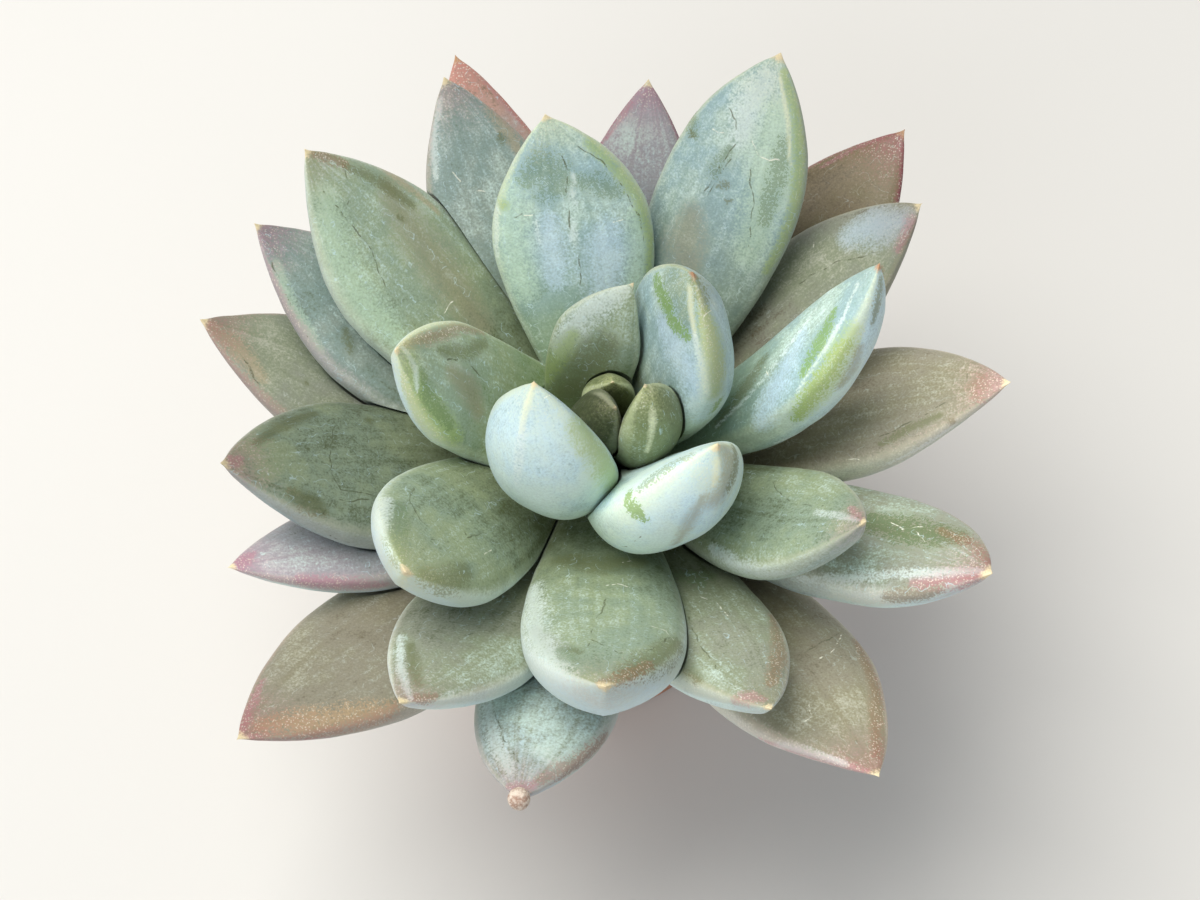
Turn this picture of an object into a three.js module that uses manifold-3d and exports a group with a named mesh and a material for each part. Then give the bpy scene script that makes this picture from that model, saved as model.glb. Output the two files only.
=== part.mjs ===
// A potted pachyveria: thirty-one thick, waxy leaves in a rosette on a short stem,
// which stands in soil in a plain clay pot. Lengths are in millimetres and angles in
// degrees, +Z is up, and the origin is the middle of the pot's base.

import * as THREE from 'three';
import { mergeVertices } from 'three/addons/utils/BufferGeometryUtils.js';
import Module from 'manifold-3d';

const wasm = await Module();
wasm.setup();

// Driving dimensions of the pot
const POT_HEIGHT = 43;
const POT_RIM_RADIUS = 24;
const POT_BASE_RADIUS = 16;
const POT_WALL = 3;
const POT_FLOOR = 4;
const POT_LIP = 0.8;
const RIM_BAND_HEIGHT = 11;
const RIM_BAND_STEP = 1.2;
const DRAIN_HOLE_RADIUS = 4;
const POT_SEGMENTS = 44;

// Driving dimensions of the soil
const SOIL_TOP = 37.5;
const SOIL_BUMP = 0.7;
const SOIL_SHOULDER = 1.5;
const SOIL_SEGMENTS = 36;
const SOIL_RINGS = 7;

// Driving dimensions of the stem
const STEM_RADIUS = 4.2;
const STEM_FOOT = 29;
const STEM_SHOULDER = 54;
const STEM_TOP = 62;
const STEM_SEGMENTS = 20;
const STEM_RINGS = 12;

// Clear gap between pieces that lie against each other
const GAP = 0.3;

// Leaves are rooted along a spiral that climbs the stem, each a little below the last
const ROOT_TOP = 61;
const ROOT_PITCH = 0.55;
const ROOT_DEPTH = 0.8;
const LEAF_SIDES = 12;
const LEAF_RINGS = 11;
const CUT_TOLERANCE = 0.03;

// Each leaf, from the heart of the rosette outward. Facing is the way that its root
// points from the stem, and tip is its tip's turn round the stem, reach and height.
// Bow is how far its middle sinks below a straight line from root to tip, lean is how
// far the middle stands aside, and blunt is how full the outline stays toward the tip.
// Foot, where given, is the root's width as a share of the leaf's own, and roll turns the
// leaf about its length, so that the margin on the facing's left rises.
const LEAVES = [
  { facing: 95, tip: [18, 1, 76], width: 6.5, thick: 4, bow: 0.2, lean: 0, blunt: 2.2 },
  { facing: 200, tip: [-73, 4.5, 79], width: 8, thick: 5.5, bow: 0.5, lean: 0, blunt: 2.2 },
  { facing: -45, tip: [-34, 5.5, 83], width: 9, thick: 6, bow: 2.2, lean: 0, blunt: 2.2 },
  { facing: -120, tip: [-144, 10, 90], width: 16, thick: 11, bow: 3.8, lean: 1.2, blunt: 1.9 },
  { facing: 132, tip: [72, 11, 82], width: 11, thick: 6, bow: 1, lean: 2.5, blunt: 1.7, foot: 1, roll: -65 },
  { facing: -62, tip: [-43, 17.5, 86], width: 18.5, thick: 10, bow: 3.5, lean: -2.8, blunt: 2.4 },
  { facing: 20, tip: [41, 13.5, 88], width: 19, thick: 9.5, bow: 0.8, lean: -0.8, blunt: 2.1 },
  { facing: 166, tip: [177, 24.5, 83], width: 15.5, thick: 8.5, bow: 3, lean: -0.7, blunt: 1.7, foot: 0.95 },
  { facing: -92, tip: [-90, 40, 83], width: 19.5, thick: 11.5, bow: 5, lean: 0, blunt: 2.6 },
  { facing: 100, tip: [102.5, 33.5, 83], width: 20, thick: 9, bow: 4, lean: -1, blunt: 1.9 },
  { facing: 12, tip: [19, 34, 86], width: 14, thick: 9, bow: 3.8, lean: -2.6, blunt: 2.3, roll: -25 },
  { facing: -145, tip: [-131, 34.5, 82], width: 19, thick: 9.5, bow: 3.6, lean: -2.3, blunt: 2.6 },
  { facing: -25, tip: [-32.5, 35.5, 80], width: 16, thick: 8.5, bow: 4, lean: -0.9, blunt: 1.9, roll: -10 },
  { facing: 63, tip: [62.5, 46.5, 83], width: 18.5, thick: 9, bow: 4, lean: -0.5, blunt: 2.4, roll: -6 },
  { facing: 145, tip: [141, 47, 80], width: 20, thick: 9, bow: 4, lean: 0, blunt: 1.9, roll: 5 },
  { facing: -70, tip: [-65, 44.5, 76], width: 16.5, thick: 9, bow: 4, lean: 0.3, blunt: 1.9, roll: -12 },
  { facing: -125, tip: [-120.5, 46, 76], width: 18, thick: 9, bow: 4, lean: 0.5, blunt: 1.9, roll: 10 },
  { facing: 112, tip: [115.5, 46.5, 76], width: 17, thick: 8, bow: 3, lean: 0, blunt: 1.9 },
  { facing: -25, tip: [-25.5, 50.5, 70], width: 18, thick: 9, bow: 3, lean: 0.75, blunt: 3.2, roll: -22 },
  { facing: 35, tip: [33, 46.5, 74], width: 17.5, thick: 8, bow: 4, lean: 1.3, blunt: 1.9, roll: -15 },
  { facing: -175, tip: [-169.5, 46.5, 72], width: 21, thick: 10, bow: 3, lean: -0.5, blunt: 1.9, roll: 15 },
  { facing: -100, tip: [-101.5, 49.5, 68], width: 17.5, thick: 9, bow: 3, lean: 0, blunt: 2.6, roll: 10 },
  { facing: 152, tip: [150.5, 50, 70], width: 18.5, thick: 8, bow: 3, lean: 0.6, blunt: 1.9, roll: 12 },
  { facing: 2, tip: [5.5, 50, 66], width: 19.5, thick: 9, bow: 3, lean: 2.6, blunt: 1.9, roll: -20 },
  { facing: -160, tip: [-158.5, 49, 62], width: 14, thick: 8, bow: 2, lean: 0, blunt: 1.9, roll: 18 },
  { facing: 80, tip: [83, 45.5, 70], width: 16, thick: 8, bow: 3, lean: 0, blunt: 1.9 },
  { facing: -58, tip: [-54.5, 55, 64], width: 21.5, thick: 9, bow: 2, lean: 1.3, blunt: 1.9, roll: -18 },
  { facing: 110, tip: [111, 53.5, 68], width: 16, thick: 8, bow: 3, lean: 0, blunt: 1.9 },
  { facing: 168, tip: [164.2, 52.4, 64], width: 19, thick: 8, bow: 2, lean: 0.4, blunt: 1.9, roll: 15 },
  { facing: 43, tip: [47, 56.5, 64], width: 20.5, thick: 8, bow: 2, lean: 0, blunt: 1.9, roll: -10 },
  { facing: -142, tip: [-137, 59, 64], width: 20.7, thick: 9, bow: 2, lean: 0.3, blunt: 1.9, roll: 18 },
];

// Shape that all leaves share, as shares of their length, width and thickness
const WIDEST_AT = 0.6;
const ROOT_WIDTH = 0.42;
const THICKEST_AT = 0.5;
const ROOT_THICKNESS = 0.4;
const UPPER_SHARE = 0.3;
const KEEL_FROM = 0.55;
const KEEL_SHARPNESS = 0.6;

// Exponents of the curves that shape a leaf: how slowly it swells from its root, how much
// fuller its thickness stays toward the tip than its width, how square its margins are,
// how straight the flanks of its keel are, and how its sides crowd toward the margins
const ROOT_EASE = 1.4;
const TIP_FULLNESS = 0.6;
const MARGIN_SQUARENESS = 2.6;
const KEEL_STRAIGHTNESS = 1.15;
const SIDE_CROWDING = 0.9;

// One leaf's tip ends in a small corky knob
const KNOB_LEAF = 21;
const KNOB_RADIUS = 1.4;
const KNOB_SEGMENTS = 10;

// Colours of the pieces
const LEAF_COLOUR = 0x93a494;
const CLAY_COLOUR = 0xb5694a;
const SOIL_COLOUR = 0x3b2f27;
const STEM_COLOUR = 0x8a7c5c;

const radians = THREE.MathUtils.degToRad;

function horizontal(angle) {
  return new THREE.Vector3(Math.cos(radians(angle)), Math.sin(radians(angle)), 0);
}

function mesh(name, geometry, colour, roughness) {
  const material = new THREE.MeshStandardMaterial({ color: colour, roughness, metalness: 0 });
  const piece = new THREE.Mesh(geometry, material);
  piece.name = name;
  return piece;
}

// Only positions are kept, so that shared corners are one vertex
function closed(geometry) {
  geometry.deleteAttribute('normal');
  geometry.deleteAttribute('uv');
  return mergeVertices(geometry);
}

function solidOf(geometry) {
  const vertProperties = new Float32Array(geometry.attributes.position.array);
  const triVerts = new Uint32Array(geometry.index.array);
  return new wasm.Manifold(new wasm.Mesh({ numProp: 3, vertProperties, triVerts }));
}

function geometryOf(solid) {
  const { vertProperties, triVerts } = solid.getMesh();
  const geometry = new THREE.BufferGeometry();
  geometry.setAttribute('position', new THREE.BufferAttribute(vertProperties, 3));
  geometry.setIndex(new THREE.BufferAttribute(triVerts, 1));
  return geometry;
}

// A profile of radius and height pairs turned about +Z
function turned(profile, segments) {
  const points = profile.map(([radius, height]) => new THREE.Vector2(radius, height));
  const geometry = new THREE.LatheGeometry(points, segments);
  geometry.rotateX(Math.PI / 2);
  return geometry;
}

function potWallRadius(height) {
  return POT_BASE_RADIUS + ((POT_RIM_RADIUS - RIM_BAND_STEP - POT_BASE_RADIUS) * height) / POT_HEIGHT;
}

function makePot() {
  const bandFoot = POT_HEIGHT - RIM_BAND_HEIGHT;
  const inside = (height) => potWallRadius(height) - POT_WALL;
  const profile = [
    [DRAIN_HOLE_RADIUS, 0],
    [POT_BASE_RADIUS - POT_LIP, 0],
    [POT_BASE_RADIUS, POT_LIP],
    [potWallRadius(bandFoot), bandFoot],
    [POT_RIM_RADIUS - POT_LIP, bandFoot + POT_LIP / 2],
    [POT_RIM_RADIUS, POT_HEIGHT - POT_LIP],
    [POT_RIM_RADIUS - POT_LIP, POT_HEIGHT],
    [inside(POT_HEIGHT) + POT_LIP, POT_HEIGHT],
    [inside(POT_HEIGHT), POT_HEIGHT - POT_LIP],
    [inside(POT_FLOOR), POT_FLOOR],
    [DRAIN_HOLE_RADIUS, POT_FLOOR],
    [DRAIN_HOLE_RADIUS, 0],
  ];
  return mesh('pot', closed(turned(profile, POT_SEGMENTS)), CLAY_COLOUR, 0.85);
}

// Low mounds on the soil's surface
function soilBump(x, y) {
  const mound = Math.sin(0.45 * x + 0.9) * Math.cos(0.38 * y - 0.4);
  const ripple = Math.sin(1.1 * x - 0.8 * y);
  return SOIL_BUMP * (0.8 * mound + 0.2 * ripple);
}

function makeSoil() {
  const foot = POT_FLOOR + GAP;
  const wall = (height) => potWallRadius(height) - POT_WALL - GAP;
  const edge = wall(SOIL_TOP) - SOIL_BUMP / 2;
  const profile = [[0, foot], [wall(foot), foot], [edge, SOIL_TOP - SOIL_SHOULDER]];
  for (let ring = 0; ring <= SOIL_RINGS; ring += 1) {
    profile.push([edge * (1 - ring / SOIL_RINGS), SOIL_TOP]);
  }
  const geometry = turned(profile, SOIL_SEGMENTS);
  const position = geometry.attributes.position;
  for (let i = 0; i < position.count; i += 1) {
    if (position.getZ(i) > SOIL_TOP - SOIL_SHOULDER / 2) {
      position.setZ(i, SOIL_TOP + soilBump(position.getX(i), position.getY(i)));
    }
  }
  const hole = solidOf(stemGeometry(GAP));
  return mesh('soil', geometryOf(solidOf(closed(geometry)).subtract(hole)), SOIL_COLOUR, 0.95);
}

// The stem is even up to its shoulder and rounds off to its growing point
function stemRadius(height) {
  const climb = THREE.MathUtils.clamp((height - STEM_SHOULDER) / (STEM_TOP - STEM_SHOULDER), 0, 1);
  return STEM_RADIUS * Math.sqrt(1 - climb ** 2);
}

function stemGeometry(clearance) {
  const foot = STEM_FOOT - clearance;
  const profile = [[0, foot], [STEM_RADIUS + clearance, foot]];
  for (let ring = 0; ring < STEM_RINGS; ring += 1) {
    const climb = Math.sin((Math.PI / 2) * (ring / STEM_RINGS));
    const height = THREE.MathUtils.lerp(STEM_SHOULDER, STEM_TOP, climb);
    profile.push([stemRadius(height) + clearance, height]);
  }
  profile.push([0, STEM_TOP + clearance]);
  return closed(turned(profile, STEM_SEGMENTS));
}

// How a leaf swells from its root to its widest or thickest place and tapers to its tip
function swell(along, root, fullestAt, blunt) {
  if (along < fullestAt) {
    return root + (1 - root) * Math.sin((Math.PI / 2) * (along / fullestAt)) ** ROOT_EASE;
  }
  return 1 - ((along - fullestAt) / (1 - fullestAt)) ** blunt;
}

// The leaf's centre line, from its root on the stem to its tip
function leafCurve(leaf, order, clearance) {
  const rootHeight = ROOT_TOP - ROOT_PITCH * order;
  const outward = horizontal(leaf.facing);
  const root = outward.clone().multiplyScalar(stemRadius(rootHeight) - ROOT_DEPTH).setZ(rootHeight);
  const [turn, reach, height] = leaf.tip;
  const tip = horizontal(turn).multiplyScalar(reach).setZ(height);
  const chord = tip.clone().sub(root).normalize();
  const across = horizontal(leaf.facing + 90);
  across.addScaledVector(chord, -chord.dot(across)).normalize();
  const upper = chord.clone().cross(across);
  root.addScaledVector(chord, -clearance);
  tip.addScaledVector(chord, clearance);
  const middle = root.clone().add(tip).multiplyScalar(0.5);
  middle.addScaledVector(upper, -2 * leaf.bow).addScaledVector(across, 2 * leaf.lean);
  return { curve: new THREE.QuadraticBezierCurve3(root, middle, tip), across };
}

// The section is nearly flat above, and round below with a keel that sharpens to the tip
function sectionPoint(angle, along) {
  const across = Math.sign(Math.cos(angle)) * Math.abs(Math.cos(angle)) ** SIDE_CROWDING;
  const aside = Math.abs(across);
  const round = Math.sqrt(1 - aside ** MARGIN_SQUARENESS);
  if (Math.sin(angle) >= 0) {
    return [across, UPPER_SHARE * round];
  }
  const keel = KEEL_SHARPNESS * THREE.MathUtils.clamp((along - KEEL_FROM) / (1 - KEEL_FROM), 0, 1);
  const keeled = 1 - aside ** KEEL_STRAIGHTNESS;
  return [across, -(1 - UPPER_SHARE) * THREE.MathUtils.lerp(round, keeled, keel)];
}

// A leaf is a sphere's grid of rings and sides laid along the leaf's centre line
function leafGeometry(leaf, order, clearance) {
  const { curve, across } = leafCurve(leaf, order, clearance);
  const geometry = new THREE.SphereGeometry(1, LEAF_SIDES, LEAF_RINGS);
  const position = geometry.attributes.position;
  for (let i = 0; i < position.count; i += 1) {
    const side = i % (LEAF_SIDES + 1) % LEAF_SIDES;
    const ring = Math.floor(i / (LEAF_SIDES + 1));
    const step = Math.max(ring - 1, 0) / (LEAF_RINGS - 1);
    const along = (step + (1 - Math.cos(Math.PI * step)) / 2) / 2;
    const point = curve.getPoint(along);
    if (ring > 0 && ring < LEAF_RINGS) {
      const tangent = curve.getTangent(along);
      const aside = across.clone().addScaledVector(tangent, -tangent.dot(across)).normalize();
      aside.applyAxisAngle(tangent, radians(leaf.roll ?? 0));
      const upward = tangent.clone().cross(aside);
      const [x, y] = sectionPoint((-2 * Math.PI * side) / LEAF_SIDES, along);
      const foot = leaf.foot ?? ROOT_WIDTH;
      const halfWidth = (leaf.width / 2) * swell(along, foot, WIDEST_AT, leaf.blunt);
      const thickness = leaf.thick * swell(along, ROOT_THICKNESS, THICKEST_AT, leaf.blunt + TIP_FULLNESS);
      point.addScaledVector(aside, x * (halfWidth + clearance));
      point.addScaledVector(upward, y * thickness + Math.sign(y) * clearance);
    }
    position.setXYZ(i, point.x, point.y, point.z);
  }
  return closed(geometry);
}

// A round corky knob on a leaf's tip
function knobGeometry(leaf, order) {
  const tip = leafCurve(leaf, order, 0).curve.getPoint(1);
  const geometry = new THREE.SphereGeometry(KNOB_RADIUS, KNOB_SEGMENTS, KNOB_SEGMENTS - 2);
  geometry.translate(tip.x, tip.y, tip.z);
  return closed(geometry);
}

function largestPiece(solid) {
  const pieces = solid.decompose();
  return pieces.reduce((largest, piece) => (piece.volume() > largest.volume() ? piece : largest));
}

// Each leaf is pressed clear of the stem and of every leaf nearer the heart
function makeLeaves() {
  const neighbours = [solidOf(stemGeometry(GAP))];
  return LEAVES.map((leaf, order) => {
    let solid = solidOf(leafGeometry(leaf, order, 0));
    if (order === KNOB_LEAF) {
      solid = solid.add(solidOf(knobGeometry(leaf, order)));
    }
    neighbours.forEach((neighbour) => {
      solid = solid.subtract(neighbour);
    });
    neighbours.push(solidOf(leafGeometry(leaf, order, GAP)));
    const name = `leaf_${String(order + 1).padStart(2, '0')}`;
    return mesh(name, geometryOf(largestPiece(solid).simplify(CUT_TOLERANCE)), LEAF_COLOUR, 0.6);
  });
}

const pottedPlant = new THREE.Group();
pottedPlant.add(makePot());
pottedPlant.add(makeSoil());
pottedPlant.add(mesh('stem', stemGeometry(0), STEM_COLOUR, 0.8));
pottedPlant.add(...makeLeaves());

export default pottedPlant;
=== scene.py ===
"""The looks of a potted pachyveria: waxy leaves on a short stem, soil and a clay pot.

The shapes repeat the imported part's own dimensions, with finer meshes. Lengths are in millimetres
until a mesh is made, angles are in degrees, and +Z is up.
"""

import math
import random
from dataclasses import dataclass

import bmesh
import bpy
import numpy as np
from mathutils import Matrix, Vector, noise
from mathutils.bvhtree import BVHTree
from mathutils.kdtree import KDTree


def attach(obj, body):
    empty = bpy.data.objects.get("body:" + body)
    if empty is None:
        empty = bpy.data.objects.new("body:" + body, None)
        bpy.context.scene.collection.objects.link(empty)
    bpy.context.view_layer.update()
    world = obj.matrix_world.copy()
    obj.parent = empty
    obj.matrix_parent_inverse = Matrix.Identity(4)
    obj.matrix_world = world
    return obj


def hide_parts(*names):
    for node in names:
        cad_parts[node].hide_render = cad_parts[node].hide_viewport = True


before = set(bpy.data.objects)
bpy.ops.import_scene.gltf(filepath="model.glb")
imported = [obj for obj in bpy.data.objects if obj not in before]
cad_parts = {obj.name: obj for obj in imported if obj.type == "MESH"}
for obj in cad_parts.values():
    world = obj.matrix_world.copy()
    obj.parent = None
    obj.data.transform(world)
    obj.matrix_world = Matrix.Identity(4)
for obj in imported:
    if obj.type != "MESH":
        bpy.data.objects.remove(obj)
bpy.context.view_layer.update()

MM = 0.001

# Pot
POT_HEIGHT = 43
POT_RIM_RADIUS = 24
POT_BASE_RADIUS = 16
POT_WALL = 3
POT_FLOOR = 4
RIM_BAND_HEIGHT = 11
RIM_BAND_STEP = 1.2
RIM_BAND_SLOPE = 0.5
DRAIN_HOLE_RADIUS = 4
POT_ROUNDING = 1.1
POT_SPACING = 1.2
POT_SIDES = 160

# Soil
SOIL_TOP = 37.5
SOIL_BUMP = 0.7
SOIL_SHOULDER = 1.5
SOIL_SIDES = 200
SOIL_RINGS = 56
GRIT_COUNT = 620
GRIT_SEED = 11
GRIT_SIZES = (0.25, 0.8)
GRIT_SPREAD = (0.7, 1.3)
GRIT_STRETCH = ((0.7, 1.4), (0.6, 1), (0.45, 0.8))
GRIT_LIFT = 0.25
GRIT_DENTS = 0.22
GRIT_DENTS_PER_METRE = 1600
GRIT_STEM_ROOM = 1.6
GRIT_WALL_ROOM = 1.7

# Stem
STEM_RADIUS = 4.2
STEM_FOOT = 29
STEM_SHOULDER = 54
STEM_TOP = 62
STEM_SIDES = 72
STEM_RINGS = 110
BARK_DEPTH = 0.18
BARK_GRAIN = 1.6
BARK_STRETCH = 2.2

# Clear gap between pieces that lie against each other
GAP = 0.3

# Leaves
ROOT_TOP = 61
ROOT_PITCH = 0.55
ROOT_DEPTH = 0.8
LEAF_SIDES = 76
LEAF_RINGS = 120
CUTTER_SIDES = 44
CUTTER_RINGS = 60
WIDEST_AT = 0.6
THICKEST_AT = 0.5
ROOT_THICKNESS = 0.4
UPPER_SHARE = 0.3
KEEL_FROM = 0.55
KEEL_SHARPNESS = 0.6
ROOT_EASE = 1.4
TIP_FULLNESS = 0.6
MARGIN_SQUARENESS = 2.6
KEEL_STRAIGHTNESS = 1.15
SIDE_CROWDING = 0.9
SKIN_WAVES = 0.16
SKIN_WAVE_SIZE = 8
SKIN_RIPPLE = 0.35
SKIN_RIPPLE_SIZE = 2.6
CREASE_ANGLE = 50
NIB_LENGTH = 1.1
NIB_PINCH = 0.35
KNOB_LEAF = 22
KNOB_RADIUS = 1.4
KNOB_CORE = 0.94
KNOB_WRINKLES = 0.05
KNOB_WRINKLE_SIZE = 0.9
KNOB_CRUMB_SIZE = 0.35

# The photograph's frame and the place that it was taken from
PHOTO_WIDTH = 1200
PHOTO_HEIGHT = 900
CAMERA_ELEVATION = 67
CAMERA_DISTANCE = 350
CAMERA_TARGET = (-0.6, -1.7, 60)
PIXELS_PER_MM = 8.09
SENSOR_WIDTH = 36
CLIP_METRES = (0.01, 20)

# Studio lights: their name, place, size across, power in watts and colour
LIGHTS = (
    ("key", (-320, 220, 950), 850, 11, (1.0, 0.97, 0.92)),
    ("fill", (-350, -700, 700), 700, 2.5, (0.96, 0.98, 1.0)),
)
LIGHT_TARGET = (0, 0, 60)
SKY_COLOUR = (0.88, 0.93, 1.0, 1)
SKY_STRENGTH = 0.3
FLOOR_REACH = 3000


@dataclass
class Leaf:
    """One leaf: its root's facing, its tip's turn, reach and height, and its form."""

    facing: float
    tip: tuple
    width: float
    thick: float
    bow: float
    lean: float
    blunt: float
    foot: float = 0.42
    roll: float = 0


# From the heart of the rosette outward, with the same values as the part's source
LEAVES = [
    Leaf(95, (18, 1, 76), 6.5, 4, 0.2, 0, 2.2),
    Leaf(200, (-73, 4.5, 79), 8, 5.5, 0.5, 0, 2.2),
    Leaf(-45, (-34, 5.5, 83), 9, 6, 2.2, 0, 2.2),
    Leaf(-120, (-144, 10, 90), 16, 11, 3.8, 1.2, 1.9),
    Leaf(132, (72, 11, 82), 11, 6, 1, 2.5, 1.7, 1, -65),
    Leaf(-62, (-43, 17.5, 86), 18.5, 10, 3.5, -2.8, 2.4),
    Leaf(20, (41, 13.5, 88), 19, 9.5, 0.8, -0.8, 2.1),
    Leaf(166, (177, 24.5, 83), 15.5, 8.5, 3, -0.7, 1.7, 0.95),
    Leaf(-92, (-90, 40, 83), 19.5, 11.5, 5, 0, 2.6),
    Leaf(100, (102.5, 33.5, 83), 20, 9, 4, -1, 1.9),
    Leaf(12, (19, 34, 86), 14, 9, 3.8, -2.6, 2.3, roll=-25),
    Leaf(-145, (-131, 34.5, 82), 19, 9.5, 3.6, -2.3, 2.6),
    Leaf(-25, (-32.5, 35.5, 80), 16, 8.5, 4, -0.9, 1.9, roll=-10),
    Leaf(63, (62.5, 46.5, 83), 18.5, 9, 4, -0.5, 2.4, roll=-6),
    Leaf(145, (141, 47, 80), 20, 9, 4, 0, 1.9, roll=5),
    Leaf(-70, (-65, 44.5, 76), 16.5, 9, 4, 0.3, 1.9, roll=-12),
    Leaf(-125, (-120.5, 46, 76), 18, 9, 4, 0.5, 1.9, roll=10),
    Leaf(112, (115.5, 46.5, 76), 17, 8, 3, 0, 1.9),
    Leaf(-25, (-25.5, 50.5, 70), 18, 9, 3, 0.75, 3.2, roll=-22),
    Leaf(35, (33, 46.5, 74), 17.5, 8, 4, 1.3, 1.9, roll=-15),
    Leaf(-175, (-169.5, 46.5, 72), 21, 10, 3, -0.5, 1.9, roll=15),
    Leaf(-100, (-101.5, 49.5, 68), 17.5, 9, 3, 0, 2.6, roll=10),
    Leaf(152, (150.5, 50, 70), 18.5, 8, 3, 0.6, 1.9, roll=12),
    Leaf(2, (5.5, 50, 66), 19.5, 9, 3, 2.6, 1.9, roll=-20),
    Leaf(-160, (-158.5, 49, 62), 14, 8, 2, 0, 1.9, roll=18),
    Leaf(80, (83, 45.5, 70), 16, 8, 3, 0, 1.9),
    Leaf(-58, (-54.5, 55, 64), 21.5, 9, 2, 1.3, 1.9, roll=-18),
    Leaf(110, (111, 53.5, 68), 16, 8, 3, 0, 1.9),
    Leaf(168, (164.2, 52.4, 64), 19, 8, 2, 0.4, 1.9, roll=15),
    Leaf(43, (47, 56.5, 64), 20.5, 8, 2, 0, 1.9, roll=-10),
    Leaf(-142, (-137, 59, 64), 20.7, 9, 2, 0.3, 1.9, roll=18),
]


def leaf_name(order):
    return f"leaf_{order:02d}"


# Colours, as linear red, green and blue
PORE = (0.8, 0.74, 0.62)
MARGIN = (0.68, 0.76, 0.5)
# Pale bloom of the flanks under each leaf, with a painted highlight
FLANK_BLOOM_AND_HIGHLIGHT = (0.75, 0.87, 0.86)
MARGIN_STRENGTH = 0.35
FLANK_BLOOM_AND_HIGHLIGHT_STRENGTH = 0.7
# How strong the painted shade toward each leaf's root is
ROOT_SHADE_STRENGTH = 0.62

# Bloom and wax each drift between two tones
BLOOM = ((0.57, 0.76, 0.83), (0.63, 0.78, 0.73))
BLOOM_GREY = ((0.5, 0.56, 0.51), (0.54, 0.55, 0.45))
WAX_BLUE = ((0.32, 0.46, 0.47), (0.34, 0.46, 0.38))
WAX_TEAL = ((0.27, 0.36, 0.33), (0.31, 0.37, 0.32))
WAX_GREEN = ((0.3, 0.39, 0.29), (0.33, 0.4, 0.24))
WAX_HEART = ((0.2, 0.24, 0.11), (0.24, 0.27, 0.13))
WAX_GREY = ((0.31, 0.33, 0.26), (0.28, 0.32, 0.21))
WAX_TAUPE = ((0.3, 0.28, 0.21), (0.27, 0.25, 0.16))
WAX_UMBER = ((0.28, 0.22, 0.13), (0.25, 0.21, 0.11))
WAX_LILAC = ((0.36, 0.37, 0.39), (0.38, 0.34, 0.37))
WAX_SALMON = ((0.52, 0.34, 0.28), (0.42, 0.33, 0.3))
FLESH_GREEN = (0.15, 0.22, 0.07)
FLESH_OLIVE = (0.115, 0.14, 0.06)
FLESH_BROWN = (0.14, 0.115, 0.065)
BLUSH_YELLOW = (0.5, 0.53, 0.27)
BLUSH_BROWN = (0.27, 0.18, 0.1)
BLUSH_PINK = (0.46, 0.25, 0.25)
BLUSH_SALMON = (0.5, 0.2, 0.16)
BLUSH_ROSE = (0.34, 0.11, 0.12)
BLUSH_MAGENTA = (0.38, 0.18, 0.25)
NIB_CREAM = (0.78, 0.66, 0.42)
NIB_RED = (0.48, 0.27, 0.15)
CORK_BROWN = (0.42, 0.27, 0.2)
CORK_PALE = (0.78, 0.66, 0.55)
CORK_DUST = (0.88, 0.8, 0.7)
CLAY_DEEP = (0.46, 0.17, 0.085)
CLAY_WARM = (0.56, 0.24, 0.13)
CLAY_PALE = (0.68, 0.38, 0.25)
CLAY_LIME = (0.72, 0.62, 0.52)
SOIL_DARK = (0.018, 0.012, 0.009)
SOIL_BROWN = (0.07, 0.045, 0.03)
SOIL_FIBRE = (0.2, 0.14, 0.09)
GRIT_BARK = (0.075, 0.042, 0.025)
GRIT_STONE = (0.3, 0.22, 0.15)
GRIT_PUMICE = (0.62, 0.58, 0.5)
GRIT_DIRT = (0.1, 0.075, 0.055)
BARK_DARK = (0.1, 0.075, 0.045)
BARK_PALE = (0.26, 0.21, 0.13)
BARK_GREEN = (0.07, 0.09, 0.035)
FLOOR_TONES = ((0.72, 0.71, 0.68), (0.75, 0.74, 0.71))


@dataclass
class Look:
    """How one leaf is tinted.

    Wax is the colour of a thin bloom, and flesh the colour where it is rubbed bare, which also tints
    the painted shade toward the root. Cover runs from 0, bare, to 1, thick bloom. Rim is how much
    thicker the bloom is round the margins and under the leaf, and how strong the painted highlight on
    the flanks is. Shade is how light the whole leaf is: partly its own tone, and partly painted light
    and shade, set leaf by leaf. Blush colours the margins and the tip.
    """

    wax: tuple
    flesh: tuple
    cover: float
    rim: float
    shade: float
    blush: tuple
    margin: float
    tip: float
    nib: tuple = NIB_CREAM
    bloom: tuple = BLOOM


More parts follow.
